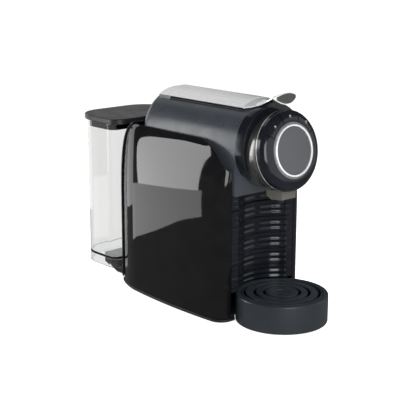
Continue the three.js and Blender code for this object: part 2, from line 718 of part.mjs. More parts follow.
// Plan of the tank: tight front corners, large rear corners and a slightly bowed back.
function tankOutline(grow, front = TANK_FRONT - grow) {
  const half = TANK_HALF + grow;
  const rear = TANK_REAR + grow;
  const frontCorner = TANK_FRONT_CORNER + grow;
  const corner = TANK_CORNER + grow;
  return [
    ...arc(half - frontCorner, front + frontCorner, frontCorner, frontCorner, -90, 0, 5),
    ...arc(half - corner, rear - corner, corner, corner, 0, 90, 10),
    ...arc(-half + corner, rear - corner, corner, corner, 90, 180, 10),
    ...arc(-half + frontCorner, front + frontCorner, frontCorner, frontCorner, 180, 270, 5),
  ];
}

function waterTank() {
  const outer = prismZ(tankOutline(0), TANK_SKIRT, TANK_TOP);
  const inside = prismZ(tankOutline(-TANK_WALL), TANK_FLOOR + 3, TANK_TOP + 10);
  const under = prismZ(tankOutline(-TANK_WALL), TANK_SKIRT - 5, TANK_FLOOR);
  const valveHole = rodZ(9.4, 0, 60, 0, VALVE_Y, 28);
  return cut(outer, inside, under, valveHole);
}

function tankValve() {
  return turnZ([[0, 26.6], [5, 26.6], [5, 29], [9, 29], [9, 33.2], [11, 33.2], [11, 35.4], [4, 37.5],
    [0, 37.5]], 28).translate(0, VALVE_Y, 0);
}

function tankLid() {
  const cap = prismZ(tankOutline(LID_OVERHANG, LID_FRONT), TANK_TOP + GAP, LID_TOP - 1.2);
  const crown = prismZ(tankOutline(LID_OVERHANG - 1.4, LID_FRONT + 1.4), LID_TOP - 1.3, LID_TOP);
  const plug = prismZ(tankOutline(-TANK_WALL - 0.5), TANK_TOP - 9, TANK_TOP + 1);
  const plugHollow = prismZ(tankOutline(-TANK_WALL - 3), TANK_TOP - 20, TANK_TOP);
  return cut(join(cap, crown, plug), plugHollow);
}

function tankDock() {
  const start = BODY_REAR + GAP;
  const side = [[start, DOCK_BOTTOM], [DOCK_REAR - 26, DOCK_BOTTOM], [DOCK_REAR, DOCK_TOP - 0.6],
    [DOCK_REAR, DOCK_TOP], [start, DOCK_TOP]];
  const base = prismX(side, DOCK_LEFT, DOCK_RIGHT);
  const plugFront = TANK_FRONT + TANK_WALL + 0.6;
  const plug = box(DOCK_LEFT, DOCK_RIGHT, plugFront, DOCK_REAR, DOCK_TOP - 0.4, TANK_FLOOR - 1.6);
  const pipeBore = rodY(4.4, BODY_REAR - 5, VALVE_Y - 12, 0, INLET_Z, 24);
  const seatBore = rodZ(8.4, DOCK_BOTTOM + 1.4, 40, 0, VALVE_Y, 28);
  return cut(join(base, plug), pipeBore, seatBore);
}

function valveSeat() {
  return turnZ([[0, DOCK_BOTTOM + 1.8], [8, DOCK_BOTTOM + 1.8], [8, 26], [6, 26], [6, 13], [0, 13]], 28)
    .translate(0, VALVE_Y, 0);
}

function cordGland() {
  return rodY(5, BODY_REAR + GAP, BODY_REAR + 8, 39.5, 12, 24);
}

// ---- assembly -----------------------------------------------------------------------------------

const FINISH = {
  pianoBlack: { color: 0x0b0b0d, roughness: 0.08, metalness: 0 },
  slate: { color: 0x4a4f57, roughness: 0.45, metalness: 0.2 },
  darkSatin: { color: 0x2b2d32, roughness: 0.4, metalness: 0 },
  blackPlastic: { color: 0x16171a, roughness: 0.35, metalness: 0 },
  rubber: { color: 0x111111, roughness: 0.9, metalness: 0 },
  silver: { color: 0xd8d9db, roughness: 0.25, metalness: 0.9 },
  chrome: { color: 0xf0f1f3, roughness: 0.06, metalness: 1 },
  dial: { color: 0x5c6066, roughness: 0.35, metalness: 0.5 },
  lightGrey: { color: 0xa8abb0, roughness: 0.4, metalness: 0.3 },
  clear: { color: 0xe6eef0, roughness: 0.05, metalness: 0 },
  steel: { color: 0xb4b6ba, roughness: 0.35, metalness: 1 },
  aluminium: { color: 0x9a9ca0, roughness: 0.5, metalness: 1 },
  brass: { color: 0xb08d4a, roughness: 0.4, metalness: 1 },
  board: { color: 0x1f5c35, roughness: 0.6, metalness: 0 },
  hose: { color: 0xd5d8d4, roughness: 0.5, metalness: 0 },
};

const group = new THREE.Group();
const dial = new THREE.Group();
dial.position.set(0, DIAL_Y, DIAL_Z);
dial.rotation.x = Math.PI / 2 - DIAL_TILT;
group.add(dial);

function add(name, geometry, finish, parent = group) {
  const mesh = new THREE.Mesh(toGeometry(toSolid(geometry)), new THREE.MeshStandardMaterial(FINISH[finish]));
  mesh.name = name;
  parent.add(mesh);
}

add('base_plate', basePlate(), 'blackPlastic');
for (const [name, x, y] of [['front_left', -58, -70], ['front_right', 58, -70],
  ['rear_left', -46, 80], ['rear_right', 46, 80]]) {
  add(`foot_${name}`, foot(x, y), 'rubber');
}
add('side_panel_left', sidePanel(-1), 'pianoBlack');
add('side_panel_right', sidePanel(1), 'pianoBlack');
add('rear_cover', rearCover(), 'blackPlastic');
add('top_cover', topCover(), 'slate');
add('front_fascia', frontFascia(), 'slate');
add('recess_header', recessHeader(), 'blackPlastic');
add('head_drum', headDrum(), 'slate');
add('head_collar', headCollar(), 'blackPlastic');

add('dial_bezel', dialBezel(), 'pianoBlack', dial);
add('button_left', dialButton(-BUTTON_SPAN), 'pianoBlack', dial);
add('button_middle', dialButton(0), 'pianoBlack', dial);
add('button_right', dialButton(BUTTON_SPAN), 'pianoBlack', dial);
add('indicator_ring', indicatorRing(), 'lightGrey', dial);
add('dial_ring', dialRing(), 'chrome', dial);
add('dial_disc', dialDisc(), 'dial', dial);

add('spout_housing', spoutHousing(), 'slate');
add('spout_nozzle', spoutNozzle(), 'blackPlastic');

add('drip_tray', dripTray(), 'darkSatin');
add('drip_grille', dripGrille(), 'darkSatin');
add('drawer_front', drawerFront(), 'pianoBlack');
add('capsule_bin', capsuleBin(), 'blackPlastic');

add('lever_plate', leverPlate(), 'silver');
add('lever_arm', leverArm(), 'blackPlastic');
add('lever_tip', leverTip(), 'chrome');
add('lever_pin', leverPin(), 'steel');

add('brew_chamber', brewChamber(), 'blackPlastic');
add('brew_piston', brewPiston(), 'steel');
add('thermoblock', thermoblock(), 'aluminium');
add('pump', pump(), 'brass');
add('pump_cradle', pumpCradle(), 'blackPlastic');
add('flow_meter', flowMeter(), 'lightGrey');
add('control_board', controlBoard(), 'board');
add('chassis', chassis(), 'blackPlastic');
add('inlet_pipe', inletPipe(), 'hose');
add('pump_pipe', pumpPipe(), 'hose');
add('boiler_pipe', boilerPipe(), 'hose');

add('tank_dock', tankDock(), 'blackPlastic');
add('valve_seat', valveSeat(), 'rubber');
add('cord_gland', cordGland(), 'rubber');
add('water_tank', waterTank(), 'clear');
add('tank_valve', tankValve(), 'blackPlastic');
add('tank_lid', tankLid(), 'blackPlastic');

export default group;
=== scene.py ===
"""Visual model of the pod coffee machine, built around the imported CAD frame. Lengths are millimetres
until a mesh is made; the object's frame has +Z up, -Y to the front and its origin on the table."""
import functools
import math

import bmesh
import bpy
from mathutils import Matrix, Vector

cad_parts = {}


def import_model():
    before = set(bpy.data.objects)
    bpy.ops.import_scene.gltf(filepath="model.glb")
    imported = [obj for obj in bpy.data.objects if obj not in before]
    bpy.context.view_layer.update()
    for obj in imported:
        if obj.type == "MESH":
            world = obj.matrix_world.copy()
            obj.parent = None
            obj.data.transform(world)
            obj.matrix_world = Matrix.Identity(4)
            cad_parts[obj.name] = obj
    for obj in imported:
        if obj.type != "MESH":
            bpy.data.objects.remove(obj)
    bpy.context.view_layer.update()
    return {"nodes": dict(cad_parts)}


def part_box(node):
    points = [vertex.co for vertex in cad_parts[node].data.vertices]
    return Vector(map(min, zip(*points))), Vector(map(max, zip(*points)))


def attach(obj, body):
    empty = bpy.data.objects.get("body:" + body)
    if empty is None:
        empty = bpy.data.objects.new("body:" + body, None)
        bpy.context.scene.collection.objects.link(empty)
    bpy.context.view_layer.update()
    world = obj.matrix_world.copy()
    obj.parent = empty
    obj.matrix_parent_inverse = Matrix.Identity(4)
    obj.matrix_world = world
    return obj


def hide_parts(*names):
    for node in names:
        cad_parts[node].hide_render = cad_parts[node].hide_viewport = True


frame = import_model()

MM = 0.001


def cad(node):
    """Lowest and highest corner of a CAD node, in millimetres."""
    low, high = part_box(node)
    return low / MM, high / MM


# ---- driving sizes, read from the frame where a node gives them ----------------------------------

PANEL_LOW, PANEL_HIGH = cad("side_panel_right")
BODY_FRONT = PANEL_LOW.y
BODY_REAR = cad("rear_cover")[1].y
BODY_HALF = PANEL_HIGH.x
PANEL_INNER = PANEL_LOW.x
PANEL_BOTTOM = PANEL_LOW.z
PANEL_TOP = PANEL_HIGH.z
BODY_WIDEST_Y = -35
SIDE_RADIUS = 862
FRONT_CORNER = 18
REAR_CORNER = 10
REAR_ROUND_START = 60
REAR_ROUND_RADIUS = 118
SHOULDER_START = 120
BODY_TOP = 224
TOP_HALF = 53
REAR_CURVE_START = 150
PANEL_POINTS = 150
PANEL_LEVELS = 46
REAR_TOP_Y = 79
SHELL = 2.6
ARCH_RADIUS = 55
ARCH_Y = -55
ARCH_Z = 168

COVER_LOW, COVER_HIGH = cad("top_cover")
BARREL_RADIUS = COVER_HIGH.x
BARREL_Z = COVER_HIGH.z - BARREL_RADIUS
BARREL_END = COVER_HIGH.y
BARREL_FRONT = COVER_LOW.y
BARREL_FILLET = 14
COVER_SKIRT = 211
HEAD_BOTTOM = cad("front_fascia")[0].z
WINDOW_RADIUS = 20
WINDOW_Z = 200

COLLAR_LOW, COLLAR_HIGH = cad("head_collar")
DIAL_TILT = math.radians(9)
DIAL_CENTRE = Vector((0, -145.9, 213.6))
BEZEL_RADIUS = cad("dial_bezel")[1].x
BEZEL_BORE = 34
BEZEL_HEIGHT = 8.5
BEZEL_DEPTH = 6
DRUM_RADIUS = cad("head_drum")[1].x
BUTTON_INNER = 35.8
BUTTON_OUTER = 46.2
BUTTON_SPAN = 40
BUTTON_GAP = 1.8
DIAL_SEAT = 5.3
RING_INNER = 28.7
RING_OUTER = 31.3

TRAY_LOW, TRAY_HIGH = cad("drip_tray")
TRAY_RADIUS = TRAY_HIGH.x
TRAY_Y = (TRAY_LOW.y + TRAY_HIGH.y) / 2
GRILLE_RADIUS = cad("drip_grille")[1].x
DRAWER_LOW, DRAWER_HIGH = cad("drawer_front")
RECESS_RADIUS = 54
RIB_PITCH = 7

LEVER_LOW, LEVER_HIGH = cad("lever_plate")
HINGE = Vector((0, 46, 261.5))
HINGE_NOSE = 10.3
WELL_HALF = 30.4
EAR_HALF = 6
PIN_BORE = 2.8
LEVER_CROWN_RADIUS = 47.4
TIP_LOW, TIP_HIGH = cad("lever_tip")

TANK_LOW, TANK_HIGH = cad("water_tank")
LID_LOW, LID_HIGH = cad("tank_lid")
TANK_CORNER = 35
TANK_FRONT_CORNER = 12
TANK_WALL = 2.2
TANK_FLOOR = 30
VALVE_Y = 135
LID_OVERHANG = 4

# What each kind of ray sees of the surroundings.
WORLD_SEEN = (1.05, 1.05, 1.05)
WORLD_MIRRORED = (0.070, 0.072, 0.076)
WORLD_LIGHT = (0.35, 0.35, 0.36)
THROUGH_TANK = (0.83, 0.81, 0.79)
FLOOR_MIRRORED = (0.14, 0.14, 0.145)
FLOOR_GLOW = (0.80, 0.80, 0.80)

# Glowing cards that are mirrored in the gloss: corners of the tall one, and the plane it stands on.
CARD_Y = 300
TALL_CARD = [(-460, 100), (-200, 100), (-200, 190), (-300, 400), (-400, 420), (-460, 300)]


# ---- materials -----------------------------------------------------------------------------------

def new_material(name):
    """A material with an empty Principled shader, its node tree and the shader node."""
    material = bpy.data.materials.new(name)
    material.use_nodes = True
    tree = material.node_tree
    shader = tree.nodes["Principled BSDF"]
    return material, tree, shader


def noise(tree, scale, detail=3.0, stretch=(1, 1, 1)):
    """A noise texture in object space; its scale is in cells per metre."""
    place = tree.nodes.new("ShaderNodeTexCoord")
    mapping = tree.nodes.new("ShaderNodeMapping")
    mapping.inputs["Scale"].default_value = stretch
    texture = tree.nodes.new("ShaderNodeTexNoise")
    texture.inputs["Scale"].default_value = scale
    texture.inputs["Detail"].default_value = detail
    tree.links.new(place.outputs["Object"], mapping.inputs["Vector"])
    tree.links.new(mapping.outputs["Vector"], texture.inputs["Vector"])
    return texture.outputs["Fac"]


def ramp(tree, factor, low, high, start=0.35, end=0.65):
    """The factor mapped from start..end to two colours or greys."""
    node = tree.nodes.new("ShaderNodeValToRGB")
    elements = node.color_ramp.elements
    elements[0].position = start
    elements[1].position = end
    for element, value in zip(elements, (low, high)):
        grey = (value, value, value) if isinstance(value, (int, float)) else value
        element.color = (*grey, 1)
    tree.links.new(factor, node.inputs["Fac"])
    return node.outputs["Color"]


def bump(tree, shader, height, strength, distance):
    node = tree.nodes.new("ShaderNodeBump")
    node.inputs["Strength"].default_value = strength
    node.inputs["Distance"].default_value = distance
    tree.links.new(height, node.inputs["Height"])
    tree.links.new(node.outputs["Normal"], shader.inputs["Normal"])


def plastic(name, dark, light, rough, grain_scale=1400, grain=0.15, specular=0.5):
    """Moulded or painted surface: faint colour drift, a fine grain and a drift in its gloss."""
    material, tree, shader = new_material(name)
    tree.links.new(ramp(tree, noise(tree, 22), dark, light), shader.inputs["Base Color"])
    gloss = ramp(tree, noise(tree, 60), rough * 0.9, rough * 1.12)
    tree.links.new(gloss, shader.inputs["Roughness"])
    shader.inputs["Specular IOR Level"].default_value = specular
    bump(tree, shader, noise(tree, grain_scale), grain, 0.00004)
    return material


def piano_black(name):
    """High-gloss moulding: near black, mirror clear, with the faintest orange peel and dust haze."""
    material, tree, shader = new_material(name)
    base = ramp(tree, noise(tree, 30), (0.003, 0.003, 0.0033), (0.0045, 0.0045, 0.005))
    tree.links.new(base, shader.inputs["Base Color"])
    haze = ramp(tree, noise(tree, 90, 6), 0.025, 0.05)
    tree.links.new(haze, shader.inputs["Roughness"])
    shader.inputs["Specular IOR Level"].default_value = 0.5
    bump(tree, shader, noise(tree, 160, 1), 0.02, 0.0002)
    return material


def brushed_metal(name, dark, light, rough, stretch, scale=600, metallic=1.0):
    """Metal with a directional brushed grain; stretch is small along the brushing."""
    material, tree, shader = new_material(name)
    lines = noise(tree, scale, 4, stretch)
    tree.links.new(ramp(tree, lines, dark, light), shader.inputs["Base Color"])
    tree.links.new(ramp(tree, lines, rough * 0.8, rough * 1.25), shader.inputs["Roughness"])
    shader.inputs["Metallic"].default_value = metallic
    bump(tree, shader, lines, 0.08, 0.00005)
    return material


def spun_metal(name, dark, light, rough, centre, metallic=1.0):
    """Metal turned about the dial's axis: fine rings about the centre."""
    material, tree, shader = new_material(name)
    place = tree.nodes.new("ShaderNodeTexCoord")
    mapping = tree.nodes.new("ShaderNodeMapping")
    mapping.inputs["Location"].default_value = -centre * MM
    wave = tree.nodes.new("ShaderNodeTexWave")
    wave.wave_type = "RINGS"
    wave.rings_direction = "Y"
    wave.inputs["Scale"].default_value = 420
    wave.inputs["Distortion"].default_value = 0.6
    wave.inputs["Detail"].default_value = 2
    tree.links.new(place.outputs["Object"], mapping.inputs["Vector"])
    tree.links.new(mapping.outputs["Vector"], wave.inputs["Vector"])
    tree.links.new(ramp(tree, wave.outputs["Fac"], dark, light, 0, 1), shader.inputs["Base Color"])
    tree.links.new(ramp(tree, noise(tree, 80), rough * 0.85, rough * 1.15), shader.inputs["Roughness"])
    shader.inputs["Metallic"].default_value = metallic
    bump(tree, shader, wave.outputs["Fac"], 0.03, 0.00003)
    return material


def clear_plastic(name):
    """Clear moulded tank wall, faintly wavy, with a slight drift in its polish."""
    material, tree, shader = new_material(name)
    shader.inputs["Base Color"].default_value = (0.97, 0.985, 0.99, 1)
    shader.inputs["Transmission Weight"].default_value = 1.0
    shader.inputs["IOR"].default_value = 1.3
    polish = ramp(tree, noise(tree, 40), 0.0, 0.03)
    tree.links.new(polish, shader.inputs["Roughness"])
    bump(tree, shader, noise(tree, 14, 1), 0.03, 0.0006)
    return material


EVEN = (1, 1, 1)


def make_materials():
    """Every look by its short name."""
    return {
        "piano": piano_black("piano_black"),
        "slate": plastic("slate_satin", (0.030, 0.035, 0.042), (0.036, 0.042, 0.050), 0.30, 900, 0.03, 0.6),
        "dark": plastic("dark_satin", (0.016, 0.019, 0.023), (0.020, 0.024, 0.029), 0.32, 1800, 0.10),
        "grip": plastic("grip_grey", (0.035, 0.036, 0.034), (0.042, 0.043, 0.041), 0.4, 1500, 0.12),
        "black": plastic("matte_black", (0.010, 0.010, 0.011), (0.014, 0.014, 0.016), 0.42, 1500, 0.22),
        "gloss": plastic("gloss_black", (0.004, 0.005, 0.007), (0.007, 0.008, 0.011), 0.13, 900, 0.04),
        "rubber": plastic("foot_rubber", (0.012, 0.012, 0.012), (0.02, 0.02, 0.02), 0.8, 900, 0.5, 0.3),
        "silver": brushed_metal("brushed_silver", (0.78, 0.78, 0.785), (0.82, 0.82, 0.825), 0.30,
                                (1, 0.02, 1), 600, 0.5),
        "chrome": brushed_metal("polished_chrome", (0.86, 0.86, 0.87), (0.91, 0.91, 0.92), 0.12,
                                EVEN, 200, 0.55),
        "drum": brushed_metal("satin_drum", (0.19, 0.185, 0.18), (0.22, 0.215, 0.21), 0.20,
                              EVEN, 300, 0.9),
        "icon": plastic("icon_grey", (0.20, 0.205, 0.21), (0.25, 0.255, 0.26), 0.5, 2000, 0.05),
        "spout": plastic("spout_grey", (0.075, 0.070, 0.063), (0.09, 0.085, 0.077), 0.35, 1800, 0.10),
        "dial": spun_metal("spun_dial", (0.11, 0.116, 0.123), (0.13, 0.136, 0.143), 0.34, DIAL_CENTRE, 0.7),
        "ring": plastic("ring_grey", (0.10, 0.105, 0.11), (0.13, 0.135, 0.14), 0.35, 1500, 0.1),
        "clear": clear_plastic("clear_tank"),
        "steel": brushed_metal("turned_steel", (0.45, 0.45, 0.47), (0.6, 0.6, 0.62), 0.3, (1, 1, 0.05)),
        "cast": brushed_metal("cast_aluminium", (0.36, 0.36, 0.37), (0.5, 0.5, 0.51), 0.5, EVEN, 300),
        "brass": brushed_metal("satin_brass", (0.52, 0.38, 0.15), (0.62, 0.47, 0.2), 0.35, EVEN, 300),
        "board": plastic("circuit_green", (0.012, 0.07, 0.025), (0.02, 0.1, 0.035), 0.4, 700, 0.3),
        "hose": plastic("silicone_hose", (0.5, 0.5, 0.47), (0.62, 0.62, 0.59), 0.45, 800, 0.1),
    }


MATERIALS = make_materials()


# ---- mesh helpers --------------------------------------------------------------------------------

def finish_mesh(name, build, look, body, replaced=(), sharp=32, bevel=None):
    """Turns a bmesh in millimetres into a piece: welded, faces outwards, smooth, bevelled and riding."""
    bmesh.ops.remove_doubles(build, verts=build.verts, dist=1e-4)
    bmesh.ops.dissolve_degenerate(build, edges=build.edges, dist=1e-5)
    bmesh.ops.recalc_face_normals(build, faces=build.faces)
    bmesh.ops.scale(build, vec=(MM, MM, MM), verts=build.verts)
    mesh = bpy.data.meshes.new(name)
    build.to_mesh(mesh)
    build.free()
    piece = bpy.data.objects.new(name, mesh)
    bpy.context.scene.collection.objects.link(piece)
    if bevel:
        add_bevel(piece, bevel, sharp)
        mesh = piece.data
    for polygon in mesh.polygons:
        polygon.use_smooth = True
    mesh.set_sharp_from_angle(angle=math.radians(sharp))
    normals = piece.modifiers.new("even_shading", "WEIGHTED_NORMAL")
    normals.keep_sharp = True
    mesh.materials.append(MATERIALS[look])
    if replaced:
        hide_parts(*replaced)
    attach(piece, body)
    return piece


def add_bevel(piece, width, sharp, segments=3):
    modifier = piece.modifiers.new("bevel", "BEVEL")
    modifier.width = width * MM
    modifier.segments = segments
    modifier.limit_method = "ANGLE"
    modifier.angle_limit = math.radians(sharp)
    modifier.harden_normals = False
    bake_modifiers(piece)


def bake_modifiers(piece):
    """Applies every modifier of a piece to its mesh."""
    graph = bpy.context.evaluated_depsgraph_get()
    mesh = bpy.data.meshes.new_from_object(piece.evaluated_get(graph))
    piece.modifiers.clear()
    piece.data = mesh


def arc(cx, cy, rx, ry, start, end, steps):
    """Points on an arc, angles in degrees, both ends included."""
    points = []
    for i in range(steps + 1):
        angle = math.radians(start + (end - start) * i / steps)
        points.append((cx + rx * math.cos(angle), cy + ry * math.sin(angle)))
    return points


def skin(build, rings, closed_rings=True, cap_ends=False):
    """Quads between rings of equally many points."""
    rows = [[build.verts.new(p) for p in ring] for ring in rings]
    count = len(rows[0])
    span = count if closed_rings else count - 1
    for lower, upper in zip(rows, rows[1:]):
        for i in range(span):
            j = (i + 1) % count
            build.faces.new((lower[i], lower[j], upper[j], upper[i]))
    if cap_ends:
        build.faces.new(rows[0][::-1])
        build.faces.new(rows[-1])
    return rows


def turn(profile, place=None, segments=128, closed=False):
    """A (radius, height) profile turned about +Z, then moved by the matrix place."""
    build = bmesh.new()
    points = list(profile)
    if closed:
        points.append(points[0])
    rings = []
    for radius, height in points:
        angles = (2 * math.pi * i / segments for i in range(segments))
        rings.append([(max(radius, 1e-5) * math.cos(a), max(radius, 1e-5) * math.sin(a), height)
                      for a in angles])
    skin(build, rings)
    bmesh.ops.remove_doubles(build, verts=build.verts, dist=1e-3)
    if place is not None:
        bmesh.ops.transform(build, matrix=place, verts=build.verts)
    return build


def prism(points, start, end, axis="Z"):
    """An outline extruded along an axis: (x, y) along Z, (y, z) along X or (x, z) along Y."""
    def place(u, v, w):
        return {"Z": (u, v, w), "X": (w, u, v), "Y": (u, w, v)}[axis]
    build = bmesh.new()
    rings = [[place(u, v, w) for u, v in points] for w in (start, end)]
    skin(build, rings, cap_ends=True)
    bmesh.ops.recalc_face_normals(build, faces=build.faces)
    return build


def block(x0, x1, y0, y1, z0, z1):
    return prism([(x0, y0), (x1, y0), (x1, y1), (x0, y1)], z0, z1)


def as_object(build, turn_faces=True):
    """A scratch object from a bmesh in millimetres, its faces turned outwards unless they are to stay."""
    if turn_faces:
        bmesh.ops.recalc_face_normals(build, faces=build.faces)
    mesh = bpy.data.meshes.new("scratch")
    build.to_mesh(mesh)
    build.free()
    scratch = bpy.data.objects.new("scratch", mesh)
    bpy.context.scene.collection.objects.link(scratch)
    return scratch


def thicken(build, thickness, offset, bevel=None):
    """A closed solid from an open sheet; offset -1 adds behind its faces, +1 in front, 0 both ways."""
    sheet = as_object(build, turn_faces=False)
    solidify = sheet.modifiers.new("wall", "SOLIDIFY")
    solidify.thickness = thickness
    solidify.offset = offset
    if bevel:
        edge = sheet.modifiers.new("edge", "BEVEL")
        edge.width = bevel
        edge.segments = 3
        edge.limit_method = "ANGLE"
        edge.angle_limit = math.radians(40)
    bake_modifiers(sheet)
    result = bmesh.new()
    result.from_mesh(sheet.data)
    bpy.data.objects.remove(sheet)
    return result


def boolean(build, *tools, how="DIFFERENCE"):
    """The first solid with the others cut away, joined on or kept in common. All are in millimetres."""
    target = as_object(build)
    for tool in tools:
        cutter = as_object(tool)
        modifier = target.modifiers.new("boolean", "BOOLEAN")
        modifier.operation = how
        modifier.solver = "EXACT"
        modifier.object = cutter
        bake_modifiers(target)
        bpy.data.objects.remove(cutter)
    result = bmesh.new()
    result.from_mesh(target.data)
    bpy.data.objects.remove(target)
    return result


# ---- body ----------------------------------------------------------------------------------------

def side_half(y, z, inset=0.0):
    """Half width of the body: bowed along its length, rounded at the shoulder and towards the rear."""
    base = BODY_HALF - inset - (y - BODY_WIDEST_Y) ** 2 / (2 * SIDE_RADIUS)
    rise = max(0.0, z - SHOULDER_START) / (BODY_TOP - inset - SHOULDER_START)
    rounding = max(0.0, y - REAR_ROUND_START) ** 2 / (2 * REAR_ROUND_RADIUS)
    return TOP_HALF + (base - TOP_HALF) * math.sqrt(max(0.0, 1 - rise * rise)) - rounding


def side_turn(y):
    """How far the side has turned in at a given y, in radians."""
    slope = (y - BODY_WIDEST_Y) / SIDE_RADIUS + max(0.0, y - REAR_ROUND_START) / REAR_ROUND_RADIUS
    return math.atan(slope)


def rear_wall(z, inset=0.0):
    """Where the rear wall stands at one height; it curves forward towards the top."""
    rise = max(0.0, z - REAR_CURVE_START) / (BODY_TOP - inset - REAR_CURVE_START)
    return REAR_TOP_Y + (BODY_REAR - inset - REAR_TOP_Y) * math.sqrt(max(0.0, 1 - rise * rise))


def half_ring(z, inset=0.0, steps=12):
    """Plan outline of the body's right half at one height, from the front round to the rear."""
    front, rear = BODY_FRONT + inset, rear_wall(z, inset)
    corner_y = front + FRONT_CORNER
    turned = side_turn(rear - REAR_CORNER / 2)
    end_y = rear - REAR_CORNER * (1 - math.sin(turned))
    half = side_half(corner_y, z, inset)
    points = arc(half - FRONT_CORNER, corner_y, FRONT_CORNER, FRONT_CORNER, -90, 0, steps)
    for i in range(1, 5 * steps):
        y = corner_y + (end_y - corner_y) * i / (5 * steps)
        points.append((side_half(y, z, inset), y))
    half = side_half(end_y, z, inset)
    points += arc(half - REAR_CORNER * math.cos(turned), rear - REAR_CORNER, REAR_CORNER, REAR_CORNER,
                  math.degrees(turned), 90, steps)
    return points


def body_ring(z, inset=0.0, steps=8):
    """The whole body's plan outline at one height."""
    half = half_ring(z, inset, steps)
    return half + [(-x, y) for x, y in reversed(half)]


def cut_at(points, limit, keep_outside):
    """The part of an outline whose x is beyond the limit, or within it, with a point on the cut."""
    kept = []
    for (xa, ya), (xb, yb) in zip(points, points[1:]):
        a_in = (xa >= limit) == keep_outside
        b_in = (xb >= limit) == keep_outside
        if a_in:
            kept.append((xa, ya))
        if a_in != b_in:
            share = (limit - xa) / (xb - xa)
            kept.append((limit, ya + (yb - ya) * share))
    if (points[-1][0] >= limit) == keep_outside:
        kept.append(points[-1])
    return kept


def spread(points, count):
    """The same line with count points, evenly along its length."""
    lengths = [0.0]
    for a, b in zip(points, points[1:]):
        lengths.append(lengths[-1] + math.dist(a, b))
    result = []
    index = 0
    for i in range(count):
        target = lengths[-1] * i / (count - 1)
        while index < len(points) - 2 and lengths[index + 1] < target:
            index += 1
        gap = lengths[index + 1] - lengths[index]
        share = 0.0 if gap == 0 else (target - lengths[index]) / gap
        (xa, ya), (xb, yb) = points[index], points[index + 1]
        result.append((xa + (xb - xa) * share, ya + (yb - ya) * share))
    return result


@functools.cache
def panel_row(z):
    """Plan points of a side panel at one height, from its front edge round to the seam at the rear."""
    return spread(cut_at(half_ring(z), PANEL_INNER, True), PANEL_POINTS)


def panel_top(y):
    """Height of a panel's top edge: level, then one large round corner down to the front."""
    if y >= ARCH_Y:
        return PANEL_TOP
    return ARCH_Z + math.sqrt(max(0.0, ARCH_RADIUS ** 2 - (y - ARCH_Y) ** 2))


def side_panel(side):
    """One glossy side panel; side is -1 on the left and +1 on the right."""
    build = bmesh.new()
    base = panel_row(PANEL_BOTTOM)
    tops = [panel_top(y) for _, y in base]
    rings = []
    for level in range(PANEL_LEVELS + 1):
        share = level / PANEL_LEVELS
        share = share * 0.72 + 0.28 * math.sin(share * math.pi / 2)
        ring = []
        for i, top in enumerate(tops):
            z = PANEL_BOTTOM + (top - PANEL_BOTTOM) * share
            x, y = panel_row(z)[i]
            ring.append((side * x, y, z))
        rings.append(ring)
    skin(build, rings, closed_rings=False)
    bmesh.ops.recalc_face_normals(build, faces=build.faces)
    centre_face = max(build.faces, key=lambda f: side * f.calc_center_median().x)
    if centre_face.normal.x * side < 0:
        bmesh.ops.reverse_faces(build, faces=build.faces)
    name = "right" if side > 0 else "left"
    panel = thicken(build, SHELL - 0.2, -1, bevel=0.8)
    finish_mesh(f"panel_{name}", panel, "piano", "machine", [f"side_panel_{name}"], sharp=50)


def base_plate():
    low, high = cad("base_plate")
    rim = 1.2
    outline = [(x, min(y, high.y)) for x, y in body_ring(0, -rim + 0.1)]
    niche = turn([(0, -5), (TRAY_RADIUS + 0.8, -5), (TRAY_RADIUS + 0.8, 40), (0, 40)],
                 Matrix.Translation((0, TRAY_Y, 0)), 96)
    plate = boolean(prism(outline, low.z, low.z + 3.2), niche)
    finish_mesh("base_rim", plate, "black", "machine", ["base_plate"], bevel=0.7)
    inner = boolean(prism(body_ring(0, SHELL + 0.4), low.z + 3.2, high.z),
                    turn([(0, -5), (TRAY_RADIUS + 0.9, -5), (TRAY_RADIUS + 0.9, 40), (0, 40)],
                         Matrix.Translation((0, TRAY_Y, 0)), 96))
    finish_mesh("base_floor", inner, "black", "machine")


def feet():
    for name in ("front_left", "front_right", "rear_left", "rear_right"):
        low, high = cad(f"foot_{name}")
        place = Matrix.Translation(((low.x + high.x) / 2, (low.y + high.y) / 2, 0))
        radius = (high.x - low.x) / 2
        pad = turn([(0, 0.3), (radius - 2.4, 0.3), (radius - 2, 0), (radius - 0.8, 0), (radius - 0.1, 0.5),
                    (radius, high.z), (0, high.z)], place, 48)
        finish_mesh(f"pad_{name}", pad, "rubber", "machine", [f"foot_{name}"])


def rear_cover():
    """The rounded rear shell between the two panels, from seam to seam."""
    low, high = cad("rear_cover")
    heights = [low.z + (REAR_CURVE_START - low.z) * i / 8 for i in range(8)]
    for i in range(25):
        angle = math.radians(80 * i / 24)
        heights.append(REAR_CURVE_START + (BODY_TOP - REAR_CURVE_START) * math.sin(angle))
    heights = [z for z in heights if z < high.z] + [high.z]
    build = bmesh.new()
    rings = []
    for z in heights:
        rear_half = [point for point in half_ring(z) if point[1] > low.y - 6]
        inside = [(x, y) for x, y in cut_at(rear_half, high.x, False) if y > 0] + [(0, rear_wall(z))]
        inside = spread(inside, 40)
        rings.append([(x, y, z) for x, y in inside] + [(-x, y, z) for x, y in reversed(inside[:-1])])
    skin(build, rings, closed_rings=False)
    finish_mesh("rear_shell", thicken(build, SHELL - 0.3, 1), "gloss", "machine", ["rear_cover"], bevel=0.5)


# ---- head and cover ------------------------------------------------------------------------------

def barrel(radius, front, end, fillet, segments=144):
    """A horizontal barrel along Y with a rounded rear edge."""
    profile = [(0, front)]
    straight = end - fillet - front
    profile += [(radius, front + straight * i / 20) for i in range(20)]
    profile += arc(radius - fillet, end - fillet, fillet, fillet, 0, 90, 12)
    profile += [(0, end)]
    place = Matrix.Translation((0, 0, BARREL_Z)) @ Matrix.Rotation(-math.pi / 2, 4, "X")
    return turn(profile, place, segments)


